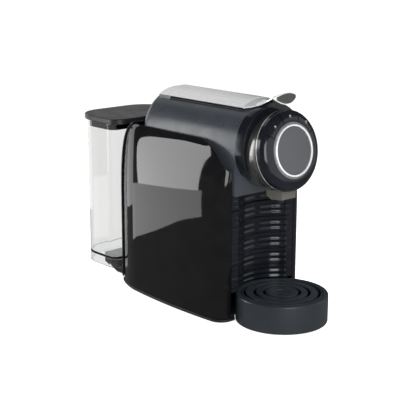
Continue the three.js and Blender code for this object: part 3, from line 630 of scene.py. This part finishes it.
def rod(radius, x0, x1, y, z, segments=64):
    """A cylinder along X."""
    place = Matrix.Translation((x0, y, z)) @ Matrix.Rotation(math.pi / 2, 4, "Y")
    return turn([(0, 0), (radius, 0), (radius, x1 - x0), (0, x1 - x0)], place, segments)


def rod_y(radius, y0, y1, x, z, segments=96):
    """A cylinder along Y."""
    place = Matrix.Translation((x, y0, z)) @ Matrix.Rotation(-math.pi / 2, 4, "X")
    return turn([(0, 0), (radius, 0), (radius, y1 - y0), (0, y1 - y0)], place, segments)


def top_cover():
    front = BARREL_FRONT
    side_rear = -50
    outer = boolean(barrel(BARREL_RADIUS, front, BARREL_END, BARREL_FILLET),
                    block(-80, 80, -130, 90, 100, COVER_SKIRT))
    outer = boolean(outer, block(-BARREL_RADIUS, BARREL_RADIUS, front, side_rear, COVER_LOW.z, BARREL_Z),
                    how="UNION")
    inner = BARREL_RADIUS - SHELL
    outer = boolean(outer, barrel(inner, front - 5, BARREL_END - SHELL, BARREL_FILLET - SHELL, 96),
                    block(-inner, inner, front - 5, side_rear + 8, 100, BARREL_Z))
    liner = boolean(barrel(BARREL_RADIUS - 0.05, front, BARREL_END, BARREL_FILLET, 96),
                    rod(HINGE_NOSE + 4, -WELL_HALF - 2, WELL_HALF + 2, HINGE.y, HINGE.z), how="INTERSECT")
    slot_liner = boolean(barrel(BARREL_RADIUS - 0.05, front, BARREL_END, BARREL_FILLET, 96),
                         block(-24, 24, -74, -40, 246, 280), how="INTERSECT")
    outer = boolean(outer, liner, slot_liner, how="UNION")
    outer = boolean(outer, rod(HINGE_NOSE + 0.6, -WELL_HALF, WELL_HALF, HINGE.y, HINGE.z),
                    block(-WELL_HALF, WELL_HALF, HINGE.y, HINGE.y + HINGE_NOSE + 1.4, HINGE.z, HINGE.z + 20),
                    block(-22, 22, -72, -42, 230, 290))
    ear = boolean(rod(4.2, -EAR_HALF, EAR_HALF, HINGE.y, HINGE.z),
                  block(-EAR_HALF, EAR_HALF, HINGE.y - 4.2, HINGE.y + 4.2,
                        HINGE.z - HINGE_NOSE - 2, HINGE.z), how="UNION")
    outer = boolean(outer, ear, how="UNION")
    outer = boolean(outer, rod(PIN_BORE, -EAR_HALF - 2, EAR_HALF + 2, HINGE.y, HINGE.z, 32))
    finish_mesh("cover_shell", outer, "slate", "machine", ["top_cover"], sharp=28)


def front_fascia():
    """The flat plate that closes the front of the head, with a sill under it and a round window."""
    front = BARREL_FRONT
    radius = BARREL_RADIUS - SHELL - 0.3
    outline = [(-radius, HEAD_BOTTOM), (radius, HEAD_BOTTOM)]
    outline += arc(0, BARREL_Z, radius, radius, 0, 180, 48)
    plate = prism(outline, front, front + 2, axis="Y")
    sill = block(-BARREL_RADIUS, BARREL_RADIUS, front, -84, HEAD_BOTTOM, HEAD_BOTTOM + SHELL)
    fascia = boolean(plate, sill, how="UNION")
    fascia = boolean(fascia, rod_y(WINDOW_RADIUS, front - 5, front + 10, 0, WINDOW_Z))
    finish_mesh("fascia_plate", fascia, "slate", "machine", ["front_fascia"], bevel=0.5)


DIAL_PLACE = Matrix.Translation(DIAL_CENTRE) @ Matrix.Rotation(math.pi / 2 - DIAL_TILT, 4, "X")


def drum_solid(radius, rear, segments=128):
    """A plain cylinder on the dial's axis, for making room for the drum."""
    return turn([(0, rear), (radius, rear), (radius, -BEZEL_DEPTH - 0.3), (0, -BEZEL_DEPTH - 0.3)],
                DIAL_PLACE, segments)


def head_drum():
    """The slightly crowned drum behind the dial."""
    crown_at, crown_radius = -13, 76
    skin_profile = [(0, -50)]
    for i in range(25):
        height = -50 + (50 - BEZEL_DEPTH - 1.6) * i / 24
        drop = crown_radius - math.sqrt(crown_radius ** 2 - min(abs(height - crown_at), 20) ** 2)
        skin_profile.append((DRUM_RADIUS - drop, height))
    skin_profile += [(DRUM_RADIUS - 1.2, -BEZEL_DEPTH - 0.7), (DRUM_RADIUS - 2.4, -BEZEL_DEPTH - 0.3),
                     (0, -BEZEL_DEPTH - 0.3)]
    behind = block(-80, 80, COLLAR_HIGH.y - 0.2, 0, 100, 300)
    drum = boolean(turn(skin_profile, DIAL_PLACE, 160), behind)
    finish_mesh("drum_shell", drum, "drum", "machine", ["head_drum"])


def head_collar():
    """The ring that the drum comes out of, with a low hump under the lever."""
    front, rear = COLLAR_LOW.y, COLLAR_HIGH.y
    radius = COLLAR_HIGH.x
    outer = turn([(0, 0), (radius, 0), (radius, rear - front - 1.6), (radius - 0.5, rear - front - 0.5),
                  (radius - 1.6, rear - front), (0, rear - front)],
                 Matrix.Translation((0, rear, BARREL_Z)) @ Matrix.Rotation(math.pi / 2, 4, "X"), 160)
    hump = rod_y(24, front, rear, 0, COLLAR_HIGH.z - 24)
    outer = boolean(outer, hump, how="UNION")
    outer = boolean(outer, drum_solid(DRUM_RADIUS + 0.5, -60))
    finish_mesh("collar_ring", outer, "gloss", "machine", ["head_collar"], sharp=35)


# ---- dial ----------------------------------------------------------------------------------------

def bezel_height(radius):
    """Height of the bezel's crowned face above its outer rim."""
    share = (radius - BEZEL_BORE) / (BEZEL_RADIUS - BEZEL_BORE)
    return BEZEL_HEIGHT * math.sqrt(max(0.0, 1 - share * share))


def bezel_profile():
    profile = [(0, -BEZEL_DEPTH), (BEZEL_RADIUS - 1, -BEZEL_DEPTH), (BEZEL_RADIUS, -BEZEL_DEPTH + 0.8)]
    profile += arc(BEZEL_BORE, 0, BEZEL_RADIUS - BEZEL_BORE, BEZEL_HEIGHT, 0, 90, 28)
    profile += [(BEZEL_BORE - 0.3, BEZEL_HEIGHT - 0.4), (BEZEL_BORE - 0.3, 5), (0, 5)]
    return profile


def sector(inner, outer, start, end, z0, z1):
    """A wedge of a ring; angles in degrees clockwise from the top of the dial."""
    outline = arc(0, 0, outer, outer, 90 - start, 90 - end, 40)
    outline += arc(0, 0, inner, inner, 90 - end, 90 - start, 40)
    return prism(outline, z0, z1)


def dial_bezel():
    reach = 1.5 * BUTTON_SPAN + 0.5
    pocket = sector(BUTTON_INNER - 0.35, BUTTON_OUTER + 0.35, -reach, reach, -1.2, 20)
    bezel = boolean(turn(bezel_profile(), None, 192), pocket)
    bmesh.ops.transform(bezel, matrix=DIAL_PLACE, verts=bezel.verts)
    finish_mesh("bezel_shell", bezel, "gloss", "machine", ["dial_bezel"], sharp=25)
    rim = turn([(BEZEL_RADIUS - 1.5, -BEZEL_DEPTH + 0.2), (BEZEL_RADIUS - 0.1, -BEZEL_DEPTH + 0.25),
                (BEZEL_RADIUS - 0.1, -BEZEL_DEPTH - 0.2), (BEZEL_RADIUS - 1.5, -BEZEL_DEPTH - 0.2)],
               DIAL_PLACE, 160, closed=True)
    finish_mesh("bezel_bright_line", rim, "chrome", "machine")


def dial_button(name, body, middle):
    reach = (BUTTON_SPAN - BUTTON_GAP) / 2
    crown = turn(bezel_profile(), None, 192)
    wedge = sector(BUTTON_INNER, BUTTON_OUTER, middle - reach, middle + reach, 0.8, 20)
    button = boolean(crown, wedge, how="INTERSECT")
    bmesh.ops.transform(button, matrix=DIAL_PLACE, verts=button.verts)
    finish_mesh(f"key_{name}", button, "gloss", body, [f"button_{name}"], sharp=30)


def cup_icon(name, body, middle, size):
    """A small printed cup, with a handle and a base line, lying on the button's crowned face."""
    radius = (BUTTON_INNER + BUTTON_OUTER) / 2
    angle = math.radians(90 - middle)
    centre = Vector((radius * math.cos(angle), radius * math.sin(angle), 0))
    half = size / 2
    bowl = [(-half, half * 0.7), (half, half * 0.7)] + arc(0, half * 0.1, half * 0.8, half * 0.9, 0, -180, 10)
    handle = arc(half * 1.05, half * 0.25, half * 0.45, half * 0.4, 100, -100, 8)
    handle += list(reversed(arc(half * 1.05, half * 0.25, half * 0.22, half * 0.2, 100, -100, 8)))
    saucer = [(-half, -half * 1.05), (half, -half * 1.05), (half, -half * 1.3), (-half, -half * 1.3)]
    build = bmesh.new()
    for outline in (bowl, handle, saucer):
        lower, upper = [], []
        for x, y in outline:
            point = centre + Vector((x, y, 0))
            z = bezel_height(math.hypot(point.x, point.y))
            lower.append(build.verts.new((point.x, point.y, z - 0.1)))
            upper.append(build.verts.new((point.x, point.y, z + 0.05)))
        build.faces.new(upper)
        build.faces.new(lower[::-1])
        for i in range(len(outline)):
            j = (i + 1) % len(outline)
            build.faces.new((lower[i], lower[j], upper[j], upper[i]))
    bmesh.ops.transform(build, matrix=DIAL_PLACE, verts=build.verts)
    finish_mesh(f"icon_{name}", build, "icon", body)


def dial_face():
    """The bright ring, the segmented grey ring outside it and the spun disc inside it."""
    outline = [(RING_INNER, DIAL_SEAT), (RING_OUTER, DIAL_SEAT), (RING_OUTER, 9.6)]
    outline += arc((RING_INNER + RING_OUTER) / 2, 9.6, (RING_OUTER - RING_INNER) / 2, 1.0, 0, 180, 10)[1:]
    ring = turn(outline, DIAL_PLACE, 160, closed=True)
    finish_mesh("bright_ring", ring, "chrome", "machine", ["dial_ring"])
    inner, outer = RING_OUTER + 0.3, BEZEL_BORE - 0.4
    band = turn([(inner, DIAL_SEAT), (outer, DIAL_SEAT), (outer, 8.7), (inner + 0.3, 9.0), (inner, 8.7)],
                None, 160, closed=True)
    edges = [step * BUTTON_SPAN for step in (-1.5, -0.5, 0.5, 1.5)]
    band = boolean(band, *[gap_cut(angle) for angle in edges])
    bmesh.ops.transform(band, matrix=DIAL_PLACE, verts=band.verts)
    finish_mesh("light_ring", band, "ring", "machine", ["indicator_ring"])
    rim = RING_INNER - 0.3
    disc = turn([(0, DIAL_SEAT), (rim, DIAL_SEAT), (rim, 9.1), (rim - 0.3, 9.5), (rim - 0.8, 9.6),
                 (rim - 1.5, 9.45), (14, 9.35), (0, 9.3)], DIAL_PLACE, 160)
    finish_mesh("face_disc", disc, "dial", "machine", ["dial_disc"])


def gap_cut(angle):
    """A thin radial cutter through the indicator ring, above its base."""
    middle = math.radians(90 - angle)
    cutter = block(-0.35, 0.35, 30, 36, 6.5, 12)
    bmesh.ops.transform(cutter, matrix=Matrix.Rotation(middle - math.pi / 2, 4, "Z"), verts=cutter.verts)
    return cutter


# ---- spout ---------------------------------------------------------------------------------------

def spout():
    low, high = cad("spout_housing")
    side = [(high.y, 168), (low.y, 168), (low.y, low.z + 2), (low.y + 18, low.z), (high.y, low.z + 4)]
    bezel_space = turn([(0, -BEZEL_DEPTH - 2), (BEZEL_RADIUS + 0.5, -BEZEL_DEPTH - 2),
                        (BEZEL_RADIUS + 0.5, 10), (0, 10)], DIAL_PLACE, 96)
    housing = boolean(prism(side, low.x, high.x, axis="X"), drum_solid(DRUM_RADIUS + 0.5, -60), bezel_space)
    finish_mesh("spout_shell", housing, "spout", "machine", ["spout_housing"], bevel=0.8)
    low, high = cad("spout_nozzle")
    centre = Matrix.Translation((0, (low.y + high.y) / 2, 0))
    tip = turn([(0, high.z - 5), (5, high.z - 5), (5, 150.5), (4.6, 149.6), (3.8, low.z + 0.6),
                (3.4, low.z), (2.4, low.z), (2, low.z + 0.6), (2, 153), (0, 153)], centre, 64)
    finish_mesh("spout_tip", tip, "black", "machine", ["spout_nozzle"])


# ---- tray, grille and drawer ---------------------------------------------------------------------

def drip_tray():
    bottom, top = TRAY_LOW.z, TRAY_HIGH.z
    rim = 2.4
    rim_inner = GRILLE_RADIUS + 0.6
    profile = [(0, bottom), (TRAY_RADIUS - 1.2, bottom)]
    profile += arc(TRAY_RADIUS - 1.2, bottom + 1.2, 1.2, 1.2, -90, 0, 6)[1:]
    profile += arc(TRAY_RADIUS - rim, top - rim, rim, rim, 0, 90, 10)
    profile += [(rim_inner + 0.5, top), (rim_inner, top - 0.5), (rim_inner, top - 3.6),
                (GRILLE_RADIUS - 2.2, top - 3.6), (GRILLE_RADIUS - 2.2, top - 6),
                (TRAY_RADIUS - 4, top - 9), (TRAY_RADIUS - 4, bottom + 3), (0, bottom + 3)]
    tray = turn(profile, Matrix.Translation((0, TRAY_Y, 0)), 160)
    finish_mesh("tray_cup", tray, "dark", "tray", ["drip_tray"])


def drip_grille():
    low, high = cad("drip_grille")
    grooves, slot = (46.2, 33.5, 22), 1.8
    profile = [(0, low.z), (GRILLE_RADIUS, low.z), (GRILLE_RADIUS, high.z - 0.5),
               (GRILLE_RADIUS - 0.5, high.z)]
    floor = high.z - 1.5
    for radius in grooves:
        profile += [(radius + slot + 0.3, high.z), (radius + slot, high.z - 0.4), (radius + slot, floor),
                    (radius - slot, floor), (radius - slot, high.z - 0.4), (radius - slot - 0.3, high.z)]
    profile += [(10, high.z)] + arc(8, high.z, 2, 1.2, 0, -90, 6)[1:] + [(0, high.z - 1.6)]
    disc = turn(profile, None, 160)
    for radius in grooves:
        opening = turn([(radius - slot, low.z - 2), (radius + slot, low.z - 2), (radius + slot, floor + 0.2),
                        (radius - slot, floor + 0.2)], None, 160, closed=True)
        bridges = [block(-60, 60, -2, 2, -50, 50), block(-2, 2, -60, 60, -50, 50)]
        disc = boolean(disc, boolean(opening, *bridges))
    bmesh.ops.transform(disc, matrix=Matrix.Translation((0, TRAY_Y, 0)), verts=disc.verts)
    finish_mesh("grille_disc", disc, "dark", "grille", ["drip_grille"])


def ribbed_wall(name, bottom, top, body, replaced, look):
    """The concave, ribbed wall of the cup space with its two flat flanges, as one closed panel."""
    half = DRAWER_HIGH.x
    front, back = BODY_FRONT, DRAWER_HIGH.y
    edge = math.degrees(math.asin(42.0 / RECESS_RADIUS))
    heights = []
    z = bottom
    while z <= top + 1e-6:
        heights.append(z)
        z += RIB_PITCH / 12
    if heights[-1] < top - 0.05:
        heights.append(top)
    build = bmesh.new()
    rings = []
    columns = 72
    for z in heights:
        phase = (DRAWER_HIGH.z - z) / RIB_PITCH
        index = round(phase)
        near = abs(phase - index) * RIB_PITCH
        deep = index % 3 == 0
        width = 0.9 if deep else 2.6
        depth = (1.5 if deep else 0.8) * max(0.0, 1 - (near / width) ** 2)
        flange = 1.0 * max(0.0, 1 - (near / 0.9) ** 2) if deep else 0.0
        ring = [(-half, front + flange), (-half + 2, front + flange)]
        for i in range(columns + 1):
            angle = math.radians(-edge + 2 * edge * i / columns)
            radius = RECESS_RADIUS + depth
            x = radius * math.sin(angle)
            y = TRAY_Y + radius * math.cos(angle)
            ring.append((x, max(y, front + flange), z))
        ring = [(p[0], p[1], z) for p in ring] + [(half - 2, front + flange, z), (half, front + flange, z)]
        ring += [(half, back, z), (-half, back, z)]
        rings.append(ring)
    skin(build, rings, cap_ends=True)
    finish_mesh(name, build, look, body, replaced, sharp=60)


# ---- lever ---------------------------------------------------------------------------------------

def lever_plate():
    """The curved silver plate with its hinge nose; its square ends are dark."""
    half = LEVER_HIGH.x
    crown_radius, crown_z = LEVER_CROWN_RADIUS, LEVER_HIGH.z - LEVER_CROWN_RADIUS
    under_radius = BARREL_RADIUS + 3.2
    reach = math.degrees(math.asin(half / crown_radius))
    under = math.degrees(math.asin(half / under_radius))
    outline = arc(0, crown_z, crown_radius, crown_radius, 90 - reach, 90 + reach, 80)
    outline += arc(0, BARREL_Z, under_radius, under_radius, 90 + under, 90 - under, 80)
    top = prism(outline, LEVER_LOW.y, HINGE.y, axis="Y")
    nose = boolean(rod(HINGE_NOSE, -half, half, HINGE.y, HINGE.z, 96),
                   rod_y(crown_radius, -120, 80, 0, crown_z, 192), how="INTERSECT")
    plate = boolean(top, nose, how="UNION")
    slot_half = EAR_HALF + 0.6
    slot = boolean(block(-slot_half, slot_half, HINGE.y - 5, HINGE.y + 20, HINGE.z - 20, HINGE.z + 5),
                   rod(5, -slot_half, slot_half, HINGE.y, HINGE.z), how="UNION")
    plate = boolean(plate, slot, rod(PIN_BORE, -27.6, 27.6, HINGE.y, HINGE.z, 32))
    blade = finish_mesh("lever_blade", plate, "silver", "lever", ["lever_plate"], sharp=30, bevel=0.25)
    blade.data.materials.append(MATERIALS["dark"])
    for polygon in blade.data.polygons:
        if abs(polygon.normal.x) > 0.9:
            polygon.material_index = 1


def lever_arm():
    low, high = cad("lever_arm")
    build = bmesh.new()
    rings = []
    inner, outer = BARREL_RADIUS + 0.5, BARREL_RADIUS + 2
    reach = math.degrees(math.asin(high.x / outer))
    for y in (low.y, high.y):
        ring = []
        for radius, start, end in ((inner, -reach, reach), (outer, reach, -reach)):
            for i in range(49):
                angle = math.radians(start + (end - start) * i / 48)
                x = max(low.x, min(high.x, radius * math.sin(angle)))
                ring.append((x, y, BARREL_Z + math.sqrt(radius * radius - x * x)))
        rings.append(ring)
    skin(build, rings, cap_ends=True)
    finish_mesh("lever_underlay", build, "black", "lever", ["lever_arm"], bevel=0.3)


# From the plate to the finger grip: y and z along the middle, half width, y and z along the edge, and
# the depth in the middle. The last station is the leaf-shaped front face.
TIP_STATIONS = [
    (-98.3, 271.9, 29.3, -98.3, 262.6, 1.8),
    (-104, 271.2, 25.5, -105, 263.9, 1.8),
    (-111, 271, 19.5, -113, 266.2, 1.8),
    (-121, 273, 18, -122, 270.2, 1.8),
    (-131, 277.2, 18, -131, 275, 2.4),
    (-139, 281.4, 19, -136.5, 278, 7),
    (-143, 283, 20, -138.5, 277.2, 15),
]
TIP_EDGE_DEPTH = 1.4


def smooth_station(at):
    """A station between the listed ones, on a Catmull-Rom curve; at runs from 0 to the last index."""
    index = min(int(at), len(TIP_STATIONS) - 2)
    share = at - index
    before = TIP_STATIONS[max(index - 1, 0)]
    here, there = TIP_STATIONS[index], TIP_STATIONS[index + 1]
    after = TIP_STATIONS[min(index + 2, len(TIP_STATIONS) - 1)]
    values = []
    for a, b, c, d in zip(before, here, there, after):
        slope_b, slope_c = (c - a) / 2, (d - b) / 2
        values.append(
            (2 * share ** 3 - 3 * share ** 2 + 1) * b + (share ** 3 - 2 * share ** 2 + share) * slope_b
            + (3 * share ** 2 - 2 * share ** 3) * c + (share ** 3 - share ** 2) * slope_c)
    return values


def tip_rows(at, across=32):
    """The upper and the lower row of points across the tip at one station."""
    mid_y, mid_z, half, edge_y, edge_z, depth = smooth_station(at)
    upper, lower = [], []
    for i in range(across + 1):
        share = 2 * i / across - 1
        bow = share * share
        y = mid_y + (edge_y - mid_y) * bow
        z = mid_z + (edge_z - mid_z) * bow
        upper.append((half * share, y, z))
        lower.append((half * share, y, z - depth + (depth - TIP_EDGE_DEPTH) * bow))
    return upper, lower


def lever_tip():
    stations = 48
    last = len(TIP_STATIONS) - 1
    build = bmesh.new()
    rings = []
    for i in range(stations + 1):
        upper, lower = tip_rows(last * i / stations)
        rings.append(upper + lower[::-1])
    skin(build, rings, cap_ends=True)
    finish_mesh("lever_grip", build, "chrome", "lever", ["lever_tip"], bevel=0.35, sharp=50)
    lever_grip_face(last)


def lever_grip_face(last):
    """The dark inlay in the leaf-shaped front face, dished a little, inside a narrow bright rim."""
    upper, lower = tip_rows(last)
    build = bmesh.new()
    rows = []
    steps = 10
    for step in range(steps + 1):
        rise = 2 * step / steps - 1
        row = []
        for top, bottom in zip(upper[3:-3], lower[3:-3]):
            middle = (Vector(top) + Vector(bottom)) / 2
            reach = (Vector(top) - Vector(bottom)) / 2
            shrink = max(0.0, 1 - 1.5 / max(reach.length, 1.6))
            point = middle + reach * shrink * rise
            row.append((point.x * 0.97, point.y - 0.25, point.z))
        rows.append(row)
    skin(build, rows, closed_rings=False)
    finish_mesh("lever_grip_face", thicken(build, 0.5, 0), "grip", "lever")


# ---- tank ----------------------------------------------------------------------------------------

def tank_outline(grow, steps=24, front=None):
    half = TANK_HIGH.x + grow
    if front is None:
        front = TANK_LOW.y - grow
    rear = TANK_HIGH.y + grow
    small, large = TANK_FRONT_CORNER + grow, TANK_CORNER + grow
    points = arc(half - small, front + small, small, small, -90, 0, steps // 2)
    points += arc(half - large, rear - large, large, large, 0, 90, steps)
    points += arc(-half + large, rear - large, large, large, 90, 180, steps)
    points += arc(-half + small, front + small, small, small, 180, 270, steps // 2)
    return points


def water_tank():
    """The clear tank: walls, a floor above an open skirt, and the valve's hole."""
    wall = TANK_WALL
    outer = prism(tank_outline(0), TANK_LOW.z, TANK_HIGH.z)
    inside = prism(tank_outline(-wall), TANK_FLOOR + 3, TANK_HIGH.z + 10)
    under = prism(tank_outline(-wall), TANK_LOW.z - 5, TANK_FLOOR)
    hole = turn([(0, 0), (9.4, 0), (9.4, 60), (0, 60)], Matrix.Translation((0, VALVE_Y, 0)), 48)
    tank = boolean(outer, inside, under, hole)
    finish_mesh("tank_shell", tank, "clear", "tank", ["water_tank"], bevel=0.6, sharp=40)


def tank_lid():
    top = LID_HIGH.z
    rings = []
    for inset, z in ((0.8, LID_LOW.z + 9.4), (0, LID_LOW.z + 10.2), (0, top - 2.2), (0.4, top - 1.0),
                     (1.4, top - 0.3), (2.8, top)):
        outline = tank_outline(LID_OVERHANG - inset, front=LID_LOW.y + inset)
        rings.append([(x, y, z) for x, y in outline])
    build = bmesh.new()
    skin(build, rings, cap_ends=True)
    plug = prism(tank_outline(-TANK_WALL - 0.5), LID_LOW.z, LID_LOW.z + 10)
    lid = boolean(build, plug, how="UNION")
    lid = boolean(lid, prism(tank_outline(-TANK_WALL - 3), LID_LOW.z - 5, LID_LOW.z + 9))
    finish_mesh("lid_shell", lid, "black", "lid", ["tank_lid"], sharp=35)


# ---- carried-over CAD nodes ----------------------------------------------------------------------

CARRIED = {
    "lever_pin": "steel", "brew_chamber": "black", "brew_piston": "steel",
    "thermoblock": "cast", "pump": "brass", "pump_cradle": "black", "flow_meter": "ring",
    "control_board": "board", "chassis": "black", "inlet_pipe": "hose", "pump_pipe": "hose",
    "boiler_pipe": "hose", "tank_dock": "black", "valve_seat": "rubber", "cord_gland": "rubber",
    "tank_valve": "black", "capsule_bin": "black",
}


def dress_carried_nodes():
    """Gives the hidden pieces, which keep their CAD shape, their procedural looks."""
    for node, look in CARRIED.items():
        mesh = frame["nodes"][node].data
        mesh.materials.clear()
        mesh.materials.append(MATERIALS[look])


# ---- stage ---------------------------------------------------------------------------------------

def glow_card(name, corners, radiance):
    """A glowing card, seen only where it is mirrored in the gloss and by the light it gives."""
    mesh = bpy.data.meshes.new(name)
    mesh.from_pydata([Vector(corner) * MM for corner in corners], [], [tuple(range(len(corners)))])
    card = bpy.data.objects.new(name, mesh)
    bpy.context.scene.collection.objects.link(card)
    material = bpy.data.materials.new(name)
    material.use_nodes = True
    tree = material.node_tree
    tree.nodes.clear()
    glow = tree.nodes.new("ShaderNodeEmission")
    glow.inputs["Strength"].default_value = radiance
    output = tree.nodes.new("ShaderNodeOutputMaterial")
    tree.links.new(glow.outputs["Emission"], output.inputs["Surface"])
    mesh.materials.append(material)
    card.visible_camera = False
    card.visible_transmission = False
    card.visible_shadow = False


def upright(x0, x1, y, z0, z1):
    """Corners of an upright rectangle square to the Y axis."""
    return [(x0, y, z0), (x1, y, z0), (x1, y, z1), (x0, y, z1)]


def floor():
    """A pale floor: white to the camera but for a soft contact shade, and dimmer where it is mirrored."""
    size = 6.0
    mesh = bpy.data.meshes.new("floor")
    corners = [(-size, -size, 0), (size, -size, 0), (size, size, 0), (-size, size, 0)]
    mesh.from_pydata(corners, [], [(0, 1, 2, 3)])
    plane = bpy.data.objects.new("floor", mesh)
    bpy.context.scene.collection.objects.link(plane)
    material = bpy.data.materials.new("floor_pale")
    material.use_nodes = True
    tree = material.node_tree
    tree.nodes.clear()
    path = tree.nodes.new("ShaderNodeLightPath")
    diffuse = tree.nodes.new("ShaderNodeBsdfDiffuse")
    diffuse.inputs["Color"].default_value = (0.85, 0.85, 0.85, 1)
    glow = tree.nodes.new("ShaderNodeEmission")
    glow.inputs["Color"].default_value = (*FLOOR_GLOW, 1)
    lit = tree.nodes.new("ShaderNodeAddShader")
    seen = tree.nodes.new("ShaderNodeEmission")
    tree.links.new(by_ray(tree, FLOOR_GLOW, FLOOR_MIRRORED, THROUGH_TANK, FLOOR_GLOW), seen.inputs["Color"])
    indirect = tree.nodes.new("ShaderNodeMath")
    indirect.operation = "MAXIMUM"
    choose = tree.nodes.new("ShaderNodeMixShader")
    output = tree.nodes.new("ShaderNodeOutputMaterial")
    tree.links.new(path.outputs["Is Glossy Ray"], indirect.inputs[0])
    tree.links.new(path.outputs["Is Transmission Ray"], indirect.inputs[1])
    tree.links.new(diffuse.outputs["BSDF"], lit.inputs[0])
    tree.links.new(glow.outputs["Emission"], lit.inputs[1])
    tree.links.new(indirect.outputs["Value"], choose.inputs["Fac"])
    tree.links.new(lit.outputs["Shader"], choose.inputs[1])
    tree.links.new(seen.outputs["Emission"], choose.inputs[2])
    tree.links.new(choose.outputs["Shader"], output.inputs["Surface"])
    mesh.materials.append(material)


def by_ray(tree, camera_value, glossy_value, transmitted_value, other_value):
    """A colour that depends on how a ray got here: seen directly, mirrored, through the tank or else."""
    path = tree.nodes.new("ShaderNodeLightPath")
    result = None
    for socket, value in (("Is Glossy Ray", glossy_value), ("Is Transmission Ray", transmitted_value),
                          ("Is Camera Ray", camera_value)):
        mix = tree.nodes.new("ShaderNodeMix")
        mix.data_type = "RGBA"
        mix.inputs[6].default_value = (*other_value, 1)
        mix.inputs[7].default_value = (*value, 1)
        tree.links.new(path.outputs[socket], mix.inputs["Factor"])
        if result is not None:
            tree.links.new(result, mix.inputs[6])
        result = mix.outputs[2]
    return result


def world():
    """White to the camera, warm white through the tank, and a dim studio to everything else."""
    scene = bpy.context.scene
    scene.world = bpy.data.worlds.new("studio")
    scene.world.use_nodes = True
    tree = scene.world.node_tree
    background = tree.nodes["Background"]
    colour = by_ray(tree, WORLD_SEEN, WORLD_MIRRORED, THROUGH_TANK, WORLD_LIGHT)
    tree.links.new(colour, background.inputs["Color"])
    scene.view_settings.view_transform = "Standard"


def area_light(name, place, target, size, power, mirrored=False):
    data = bpy.data.lights.new(name, "AREA")
    data.shape = "RECTANGLE"
    data.size, data.size_y = size
    data.energy = power
    light = bpy.data.objects.new(name, data)
    light.location = Vector(place) * MM
    aim = (Vector(target) - Vector(place)).to_track_quat("-Z", "Y")
    light.rotation_mode = "QUATERNION"
    light.rotation_quaternion = aim
    light.visible_glossy = mirrored
    light.visible_transmission = False
    bpy.context.scene.collection.objects.link(light)


def camera():
    data = bpy.data.cameras.new("camera")
    data.sensor_width = 36
    data.lens = 91.3
    view = bpy.data.objects.new("camera", data)
    yaw, pitch, roll = math.radians(42.53), math.radians(14.39), math.radians(0.23)
    turn_to = Matrix.Rotation(-yaw, 4, "Z") @ Matrix.Rotation(math.pi / 2 - pitch, 4, "X")
    turn_to = turn_to @ Matrix.Rotation(roll, 4, "Z")
    view.matrix_world = Matrix.Translation(Vector((-898.3, -984.5, 457.6)) * MM) @ turn_to
    bpy.context.scene.collection.objects.link(view)
    bpy.context.scene.camera = view


# ---- build ---------------------------------------------------------------------------------------

def build_machine():
    for side in (-1, 1):
        side_panel(side)
    base_plate()
    feet()
    rear_cover()
    top_cover()
    front_fascia()
    head_drum()
    head_collar()
    dial_bezel()
    for name, middle, size in (("left", -BUTTON_SPAN, 2.6), ("middle", 0, 3.2), ("right", BUTTON_SPAN, 3.8)):
        body = f"button_{name[0]}"
        dial_button(name, body, middle)
        cup_icon(name, body, middle, size)
    dial_face()
    spout()
    drip_tray()
    drip_grille()
    ribbed_wall("drawer_face", DRAWER_LOW.z, DRAWER_HIGH.z, "drawer", ["drawer_front"], "gloss")
    header_low, header_high = cad("recess_header")
    ribbed_wall("recess_top", header_low.z, header_high.z, "machine", ["recess_header"], "gloss")
    lever_plate()
    lever_arm()
    lever_tip()
    water_tank()
    tank_lid()
    dress_carried_nodes()


camera()
world()
floor()
glow_card("tall_card", [(x, CARD_Y, z) for x, z in TALL_CARD], 5.0)
glow_card("low_card", upright(-480, -140, CARD_Y, 1, 100), 2.1)
glow_card("rear_card", upright(-235, 80, 520, 1, 420), 1.6)
glow_card("high_card", [(60, 760, 330), (620, 560, 330), (620, 560, 700), (60, 760, 700)], 0.6)
glow_card("front_card", upright(-1000, -330, -1500, -200, 900), 5.0)
glow_card("plate_card", [(-150, 800, 700), (620, 800, 700), (620, 800, 1250), (-150, 800, 1250)], 0.75)
glow_card("dial_card", upright(-60, 72, -265, 150, 280), 0.9)
glow_card("right_card", [(700, -1100, 20), (1100, -500, 20), (1100, -500, 700), (700, -1100, 700)], 0.7)
area_light("front_fill", (-700, -900, 700), (0, -80, 130), (0.6, 0.6), 9)
area_light("right_fill", (800, -500, 600), (0, -80, 130), (0.6, 0.6), 5)
build_machine()
